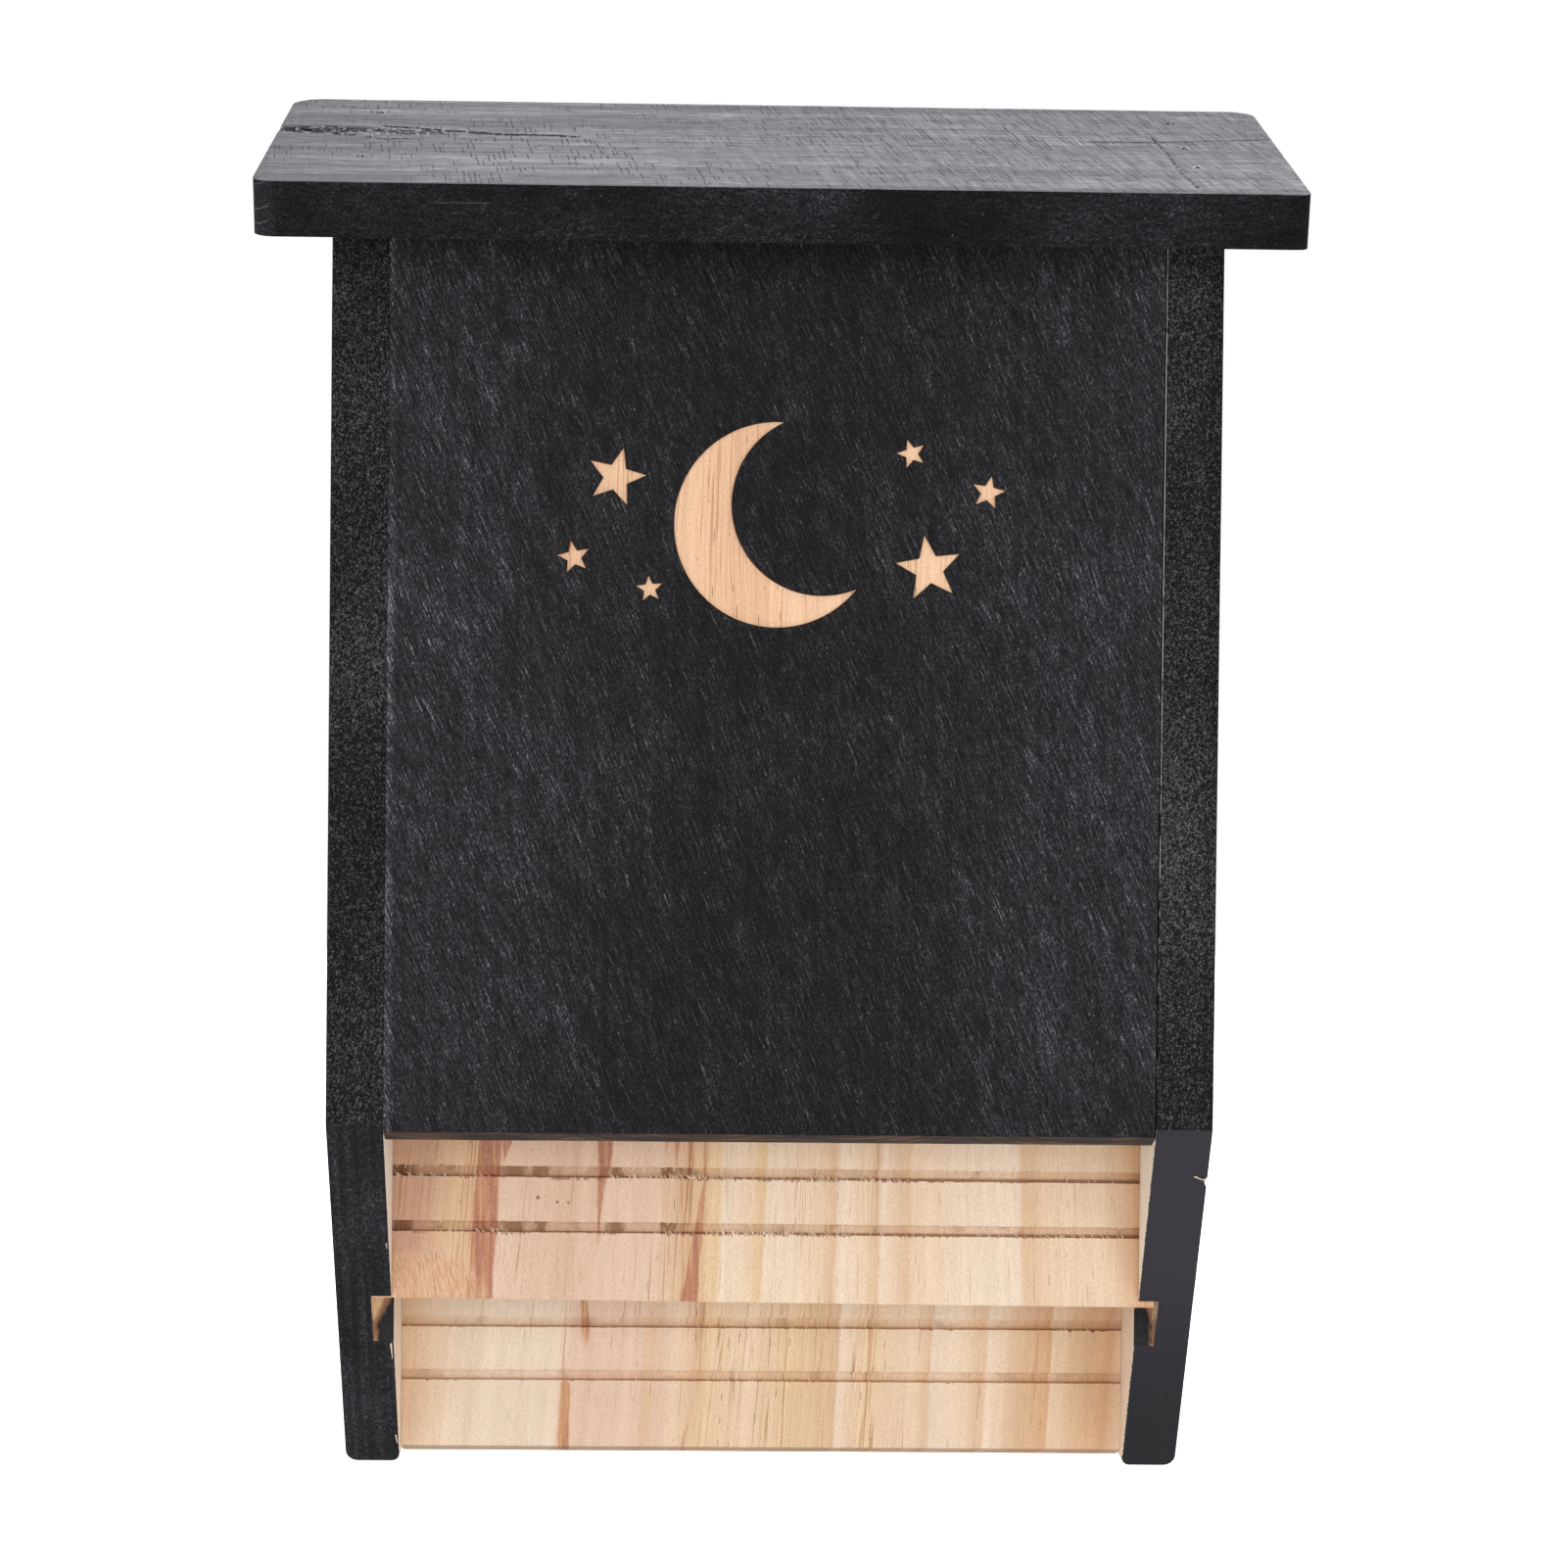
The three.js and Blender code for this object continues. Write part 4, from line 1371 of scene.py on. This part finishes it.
def sawn_edge(
        name, scale, stretch, seed, tone, rough, gloss=0.12, cloud=0.5, knocked=False, worn_from=0):
    """An edge left rough by the saw: coarse speckle, drawn out along the grain."""
    f = Finish(name)
    grit = grains(f, scale, stretch, seed, 3, 0.95)
    streaks = grains(f, scale * 0.4, [share ** 3 for share in stretch], seed + 2, 2)
    patches = grains(f, 0.03, stretch, seed + 4, 2)
    height = f.sum(tone, (grit, rough), (streaks, 0.5), (patches, cloud))
    if worn_from:
        ragged = f.sum(f.x, (streaks, 5.0))
        height = f.plus(height, f.span(ragged, worn_from, worn_from + 1.2, 0.0, -0.09))
        lower = f.fall(f.z, 15.0, 65.0)
        height = f.plus(height, f.times(lower, f.span(f.x, -60.0, 60.0, -0.08, 0.06)))
    if knocked:
        height = f.plus(height, f.span(f.x, -50.0, 70.0, -0.15, -0.02))
    colour = f.ramp(height, stain_ramp)
    run = f.plus(f.x, f.y)
    dots = f.ticks(run, f.z, 0.4, 0.7, (6.0, 6.0), seed=seed + 0.1, share=0.3)
    colour = f.blend(f.times(dots, 0.7), colour, stain_worn)
    if knocked:
        corner = f.fall(f.sum(f.x, (patches, 5.0)), knocked_from, knocked_from + 3)
        corner = f.times(corner, f.fall(f.y, -105.0, -90.0))
        colour = f.blend(f.times(corner, f.span(grit, 0.35, 0.6, 0.05, 0.4)), colour, stain_pale)
        leaning = f.times_plus(run, -0.8, f.z)
        scratches = f.ticks(leaning, run, 0.45, 4.0, (2.3, 4.1), seed=seed + 0.5, share=0.4)
        scratches = f.times(scratches, f.span(grit, 0.4, 0.55))
        colour = f.blend(f.times(corner, scratches), colour, stain_worn)
        low, high, level = long_scratch
        ends = f.times(f.span(f.x, low, low + 4), f.fall(f.x, high - 4, high))
        line = f.span(f.away(f.z, level), 0.0, 0.2, 0.3, 0.0)
        colour = f.blend(f.times(ends, line), colour, stain_worn)
    return stain_skin(f, colour, height, 0.2 * MM, roughness=0.7, gloss=gloss)


black_face = stained_face("black_face", math.radians(68), 2.0, joint_glue_and_painted_shade=True)
black_side = stained_face("black_side", math.radians(86), 5.0)
black_edge = sawn_edge("black_edge", 2.1, (1, 1, 0.8), 8.0, tone=0.42, rough=4.8, worn_from=112.5)
print("stain finishes:", black_face.name, black_side.name, black_edge.name)

# %% [markdown]
# The slanting cuts were made last and stained thickly, so they are smooth and matt, and the right
# one is paler, more so higher up. The spray went into the ends of the dados and faded there.

# %% Stain on the cuts
def stained_cut():
    f = Finish("black_cut")
    paler = f.span(f.x, -60.0, 60.0, 0.0, 1.0)
    cloud = grains(f, 0.05, detail=3)
    grit = grains(f, 1.3, (1, 1, 0.7), 1.0, 3, 0.7)
    streaks = f.drawn(f.x, f.z, 2.0, 0.55, 0.02, 3)
    height = f.sum(0.5, (grit, 0.7), (cloud, 0.4))
    left = f.ramp(f.sum(0.38, (grit, 1.7), (cloud, 0.5), (streaks, 0.8)), stain_ramp)
    foot = f.span(f.z, feet_mm + 8, feet_mm + 70, 0.0, 1.0)
    right = f.ramp(f.sum(foot, (grit, 0.5)), [(0.0, stain_middle), (1.0, to_linear(54, 52, 58))])
    colour = f.blend(paler, left, right)
    dots = f.ticks(f.x, f.z, 0.45, 0.8, (8.0, 8.0), seed=0.4, share=0.3)
    colour = f.blend(f.times(dots, 0.5), colour, stain_worn)
    return stain_skin(f, colour, height, 0.08 * MM)


dado_bands = [
    (-150, pine_yellow, 0.1), (-60, pine_yellow, 0.1), (60, pine_fresh, 0.1), (150, pine_fresh, 0.1)]


def sprayed_dado():
    """Bare pine in a dado, black where the spray reached it."""
    f = Finish("sprayed_dado")
    across = f.plus(f.y, f.x)
    colour, fibres, marks = pine_colour(f, across, f.y, dado_bands, 19.0)
    inward = f.over(f.minus((side_high.x - 0.0095) / MM, f.size(f.x)), dado_depth / MM)
    up = f.span(f.z, feet_mm + 43.5, feet_mm + 51, 0.0, 1.0, smooth=False)
    reach = f.times(f.plus(up, 0.15), f.span(f.x, -60.0, 60.0, 0.72, 0.3))
    mist = grains(f, 1.0, (1, 1, 0.3), 0.0, 2, 0.6)
    reach = f.sum(reach, (mist, 0.5))
    beyond = f.minus(inward, reach)
    colour = f.blend(f.span(beyond, -0.35, -0.05, 0.0, 0.8), colour, pine_brown)
    speckle = grains(f, 1.8, (1, 1, 0.7), 4.0, 2, 0.7)
    speckled = f.ramp(speckle, [(0.35, stain_deep), (0.7, stain_middle)])
    colour = f.blend(f.span(beyond, -0.04, 0.24), colour, speckled)
    return pine_skin(f, colour, fibres, marks)


def sawn_strip():
    """The front board's lower end: thin brownish stain over end grain, whose rings show as arcs."""
    f = Finish("sawn_strip")
    sway = f.noise(f.point(f.times(f.x, 0.02), 1.0), 2)
    heart = f.length(f.point(
        f.minus(f.math("PINGPONG", f.x, 52.0), 20.0), f.plus(f.y, 104.0), sway))
    rings = f.math("FRACT", f.over(heart, 4.4))
    arcs = f.times(f.span(rings, 0.4, 0.9), f.fall(rings, 0.92, 1.0))
    patches = f.noise(f.point(f.times(f.x, 0.05), f.times(f.y, 0.2), 4.0), 3)
    colour = f.blend(f.span(patches, 0.35, 0.7), stain_middle, stain_brown)
    colour = f.blend(
        f.times(arcs, f.span(patches, 0.4, 0.7, 0.1, 0.75)), colour, to_linear(114, 88, 71))
    return stain_skin(f, colour, patches, 0.1 * MM)


black_cut = stained_cut()
dado_spray = sprayed_dado()
black_strip = sawn_strip()
print("cut finishes:", black_cut.name, dado_spray.name, black_strip.name)

# %% [markdown]
# ## The roof's stain
# The roof took the stain thinly, and its fibres stand up from the saw. Looked at along its surface
# it turns grey, because rough fibres reflect the bright room at a low angle. The finish therefore
# stays dark, with a fairly open gloss and a little sheen, and rough spots read as darker ones. The
# torn grain was marked on the mesh when its relief was cut, so colour and relief agree.

# %% Roof finish
def roof_finish():
    f = Finish("roof_stain_top")
    along = f.x
    down = f.times_plus(f.y, math.cos(roof_pitch), f.times(f.z, math.sin(roof_pitch)))
    fibres = f.noise(f.point(f.times(along, 0.03), f.times(down, 0.45), 1.0), 4, 0.65)
    bands = f.noise(f.point(f.times(along, 0.006), f.times(down, 0.10), 4.0), 2)
    slope = f.span(along, -90.0, 90.0, 0.10, 0.16)
    slanted = f.plus(along, f.times(down, slope))
    saw = f.noise(f.point(f.times(slanted, 0.7), f.times(down, 0.035), 5.0), 2, 0.6)
    sawn = grains(f, 0.02, seed=3.0)
    grit = grains(f, 0.9, (0.22, 1, 1), seed=2.0, detail=2, rough=0.6)
    marks = f.ticks(slanted, down, 0.5, 13.0, (1.5, 8.0), seed=3.2, share=0.62)
    rear = f.span(f.times_plus(along, -0.3, down), -75.0, 0.0, 0.7, 1.0)
    sawn = f.plus(sawn, f.span(along, -60.0, 60.0, 0.0, 0.14))
    marks = f.times(marks, f.times(f.span(sawn, 0.4, 0.58), rear))
    nicks = f.ticks(down, along, 1.2, 16.0, (7.0, 22.0), seed=6.2, share=0.35)
    height = f.sum(0.54, (bands, 0.45), (grit, 0.5))
    rightwards = f.span(along, -50.0, 60.0)
    height = f.times_plus(f.minus(saw, 0.5), f.times_plus(rightwards, 0.4, 0.12), height)
    height = f.times_plus(f.minus(fibres, 0.5), f.times_plus(rightwards, -0.4, 0.8), height)
    darker = f.times(f.span(down, -20.0, 50.0), f.span(along, -110.0, -30.0, 0.3, 1.0))
    height = f.times_plus(darker, -0.06, height)
    height = f.sum(height, (f.plus(marks, 0.5), -0.5), (f.plus(nicks, 0.5), -0.16))
    torn = f.node("ShaderNodeAttribute", attribute_name="torn").outputs["Fac"]
    shreds = f.noise(f.point(f.times(along, 0.45), f.times(down, 0.75), 9.0), 2, 0.6)
    open_grain = f.span(f.times_plus(f.minus(shreds, 0.5), 1.7, torn), 0.5, 0.66)
    lifted = f.times(f.span(torn, 0.2, 0.5), f.fall(shreds, 0.36, 0.46))
    lifted = f.times(lifted, f.fall(along, -20.0, 20.0))
    height = f.minus(f.times_plus(lifted, 0.35, height), open_grain)
    colour = f.ramp(height, [
        (0.2, stain_deep), (0.5, to_linear(50, 49, 54)), (0.8, to_linear(76, 74, 81)),
        (1.0, stain_worn)])
    colour = f.blend(f.times(lifted, 0.6), colour, to_linear(150, 146, 142))
    dots = f.ticks(along, down, 0.9, 2.4, (22.0, 22.0), seed=0.7, share=0.3)
    colour = f.blend(f.times(dots, 0.8), colour, stain_worn)
    roughness = f.span(height, -0.1, 0.85, 1.0, 0.32, smooth=False)
    f.coat({
        "Specular Tint": (0.95, 0.91, 1.0, 1), "Sheen Weight": 0.08, "Sheen Roughness": 0.5,
        "Sheen Tint": (0.80, 0.79, 1.0, 1)})
    return stain_skin(f, colour, height, 0.35 * MM, roughness=roughness, gloss=0.5)


roof_top = roof_finish()
roof_edge = sawn_edge(
    "roof_stain_edge", 1.8, (0.7, 1, 1), 12.0, tone=0.35, rough=2.4, gloss=0.08, cloud=0.9,
    knocked=True)
print("roof finishes:", roof_top.name, roof_edge.name)

# %% [markdown]
# ## Small finishes
# The router scorches the wood where it turns, which leaves a thin brown line round each motif. The
# brads are bright steel with stain left in their corners. A worn arris shows pale wood.

# %% Small finishes
def scorched():
    f = Finish("scorched_wood")
    mist = f.mist(0.9, 3)
    colour = f.ramp(mist, [(0.3, to_linear(46, 32, 24)), (0.8, to_linear(108, 76, 54))])
    return stain_skin(f, colour, mist, 0.05 * MM, roughness=0.8)


def brad_finish():
    f = Finish("brad_steel")
    stain = f.mist(1.6, 3)
    painted = f.span(stain, 0.46, 0.6)
    f.coat({
        "Base Color": f.blend(painted, (0.72, 0.71, 0.70, 1), stain_middle),
        "Metallic": f.minus(1.0, painted), "Roughness": 0.34, "Normal": f.bump(stain, 0.05 * MM)})
    return f.material


def worn_arris():
    f = Finish("worn_arris")
    wear = f.noise(f.point(f.x, f.y, f.times(f.z, 0.25)), 3, 0.6)
    wear = f.plus(wear, f.span(f.z, -40.0, 60.0, -0.16, 0.10))
    colour = f.ramp(wear, [(0.38, stain_dark), (0.58, to_linear(206, 202, 198))])
    return stain_skin(f, colour, wear, 0.05 * MM)


def paint_gap_shade():
    """Near-black painted shade on the front board's right arris, standing for the shaded gap of the
    joint there.
    """
    f = Finish("gap_painted_shade")
    mist = f.mist(0.5, 2)
    colour = f.blend(mist, (0.0015, 0.0015, 0.0016, 1), stain_deep)
    return stain_skin(f, colour, mist, 0.02 * MM, gloss=0.03)


scorched_wood = scorched()
gap_painted_shade = paint_gap_shade()
brad_steel = brad_finish()
arris_worn = worn_arris()
print("small finishes:", scorched_wood.name, brad_steel.name, arris_worn.name)

# %% [markdown]
# ## Each face gets its finish
# A face's place and the way it looks decide its finish: the outside is black, the inside bare.
# Then each board rides on the box's body and takes the place of its plain node in the frame.

# %% Boards with their finishes
def side_pick(sign):
    inner = side_low.x

    def pick(face):
        if face.material_index == FIBRE:
            return FIBRE
        middle, out = face.calc_center_median(), face.normal
        depth = abs(middle.x) - inner
        in_dado = hair < depth < dado_depth + 0.2 * MM and (
            partition_low.y - 0.3 * MM < middle.y < partition_high.y + 0.3 * MM)
        slanted = middle.z < feet + cut_height + MM and out.y < -0.4 or middle.z < feet + MM
        if in_dado and abs(out.z) < 0.5 and not (slanted and out.z < -0.3):
            return DADO
        if out.x * sign < -0.9:
            return INSIDE
        if out.x * sign < -0.35 and slanted and middle.z > feet + 4 * MM:
            return RAW
        if out.x * sign < -0.35 and out.y < -0.3 and sign > 0 and not slanted:
            return WORN
        if slanted:
            return CUT
        return EDGE if abs(out.y) > 0.5 or out.z > 0.5 else FLAT

    return pick


def roof_pick(face):
    if face.material_index == ROOF_FIBRE:
        return ROOF_FIBRE
    return ROOF_TOP if face.normal.dot(roof_out) > 0.75 else ROOF_EDGE


def kept_pick(face):
    """The finish that the face got when its board was shaped."""
    return face.material_index


side_finishes = [
    black_side, black_edge, black_cut, dado_spray, pine_side, arris_worn, torn_fibre, raw_arris]
front_finishes = [black_face, pine_carved, scorched_wood, black_strip, pine_side, gap_painted_shade]
roof_finishes = [roof_top, roof_edge, roof_fibre]
pieces = [finished(*piece) for piece in (
    (side_shapes[-1], "side_left_board", "side_left", "black_stain", side_finishes, side_pick(-1)),
    (side_shapes[1], "side_right_board", "side_right", "black_stain", side_finishes, side_pick(1)),
    (roof_board, "roof_board", "roof", "roof_stain", roof_finishes, roof_pick),
    (front_board, "front_board", "front_panel", "black_stain", front_finishes, kept_pick),
    (partition_board, "partition_board", "partition", "pine", [pine_partition, torn_fibre], kept_pick),
    (back_board, "back_board", "back_panel", "pine", [pine_back, torn_fibre], kept_pick),
)]
for name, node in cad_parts.items():
    if name.startswith("brad_"):
        node.data.materials.clear()
        node.data.materials.append(brad_steel)
print(len(pieces), "boards dressed")

# %% [markdown]
# ## The studio
# The box hangs in front of a white background, above a pale floor that keeps its soft shadow. Large
# soft lamps stand in front to the left, to the right and low in the middle, one hangs above and one
# behind. The world is white to the camera and in reflections, and dimmer as a lamp.

# %% Floor
floor_level = feet - 120 * MM
floor_reach = 4.0
floor_shadow_to = 0.25
floor_white_from = 1.0


def floor_finish():
    """Pale paint that turns to white light far from the box, and is clear from below."""
    f = Finish("studio_floor", "ShaderNodeMixShader")
    paint = f.node("ShaderNodeBsdfDiffuse", (0.82, 0.82, 0.82, 1))
    far = f.span(f.length(f.place), floor_shadow_to, floor_white_from, 0.3, 1.0)
    seen = f.node("ShaderNodeLightPath").outputs["Is Camera Ray"]
    glow = f.node("ShaderNodeEmission", None, f.times(seen, far))
    both = f.node("ShaderNodeAddShader", paint.outputs[0], glow.outputs[0])
    below = f.node("ShaderNodeNewGeometry").outputs["Backfacing"]
    clear = f.node("ShaderNodeBsdfTransparent")
    for socket, value in zip(f.skin.inputs, (below, both.outputs[0], clear.outputs[0])):
        f.plug(socket, value)
    return f.material


floor_shape = bmesh.new()
bmesh.ops.create_grid(
    floor_shape, x_segments=2, y_segments=2, size=floor_reach,
    matrix=Matrix.Translation((0, 0, floor_level)))
floor = to_object(floor_shape, "studio_floor")
floor.data.materials.append(floor_finish())
print("floor %.0f mm below the feet" % ((feet - floor_level) / MM))

# %% World and lamps
ambient = 0.8
world = bpy.data.worlds.new("studio")
world.use_nodes = True
bpy.context.scene.world = world
sky = world.node_tree
background = sky.nodes["Background"]
background.inputs["Color"].default_value = (1, 1, 1, 1)
rays = sky.nodes.new("ShaderNodeLightPath")
seen = rays.outputs["Is Camera Ray"]
for ray in ("Is Glossy Ray", "Is Transmission Ray"):
    largest = sky.nodes.new("ShaderNodeMath")
    largest.operation = "MAXIMUM"
    sky.links.new(seen, largest.inputs[0])
    sky.links.new(rays.outputs[ray], largest.inputs[1])
    seen = largest.outputs[0]
strength = sky.nodes.new("ShaderNodeMapRange")
strength.inputs["To Min"].default_value = ambient
strength.inputs["To Max"].default_value = 1.0
sky.links.new(seen, strength.inputs["Value"])
sky.links.new(strength.outputs[0], background.inputs["Strength"])


def soft_lamp(name, place, side, watts):
    """A square area lamp that looks at the middle of the box."""
    lamp = bpy.data.lights.new(name, "AREA")
    lamp.shape = "SQUARE"
    lamp.size = side
    lamp.energy = watts
    made = bpy.data.objects.new(name, lamp)
    made.matrix_world = Matrix.Translation(place) @ (
        Vector((0, 0, 0)) - Vector(place)).to_track_quat("-Z", "Y").to_matrix().to_4x4()
    bpy.context.scene.collection.objects.link(made)


for name, place, side, watts in (
    ("lamp_front_left", (-1.2, -1.8, 0.15), 1.1, 7.8),
    ("lamp_front_right", (1.3, -1.7, 0.1), 1.1, 8.5),
    ("lamp_front_low", (0.0, -2.0, -0.6), 1.0, 10.8),
    ("lamp_above", (0.0, -0.1, 1.9), 1.2, 10),
    ("lamp_behind", (0.3, 1.9, 0.8), 1.2, 12),
):
    soft_lamp(name, place, side, watts)
    print(name, "of %.0f W" % watts)

scene = bpy.context.scene
scene.view_settings.view_transform = "Standard"
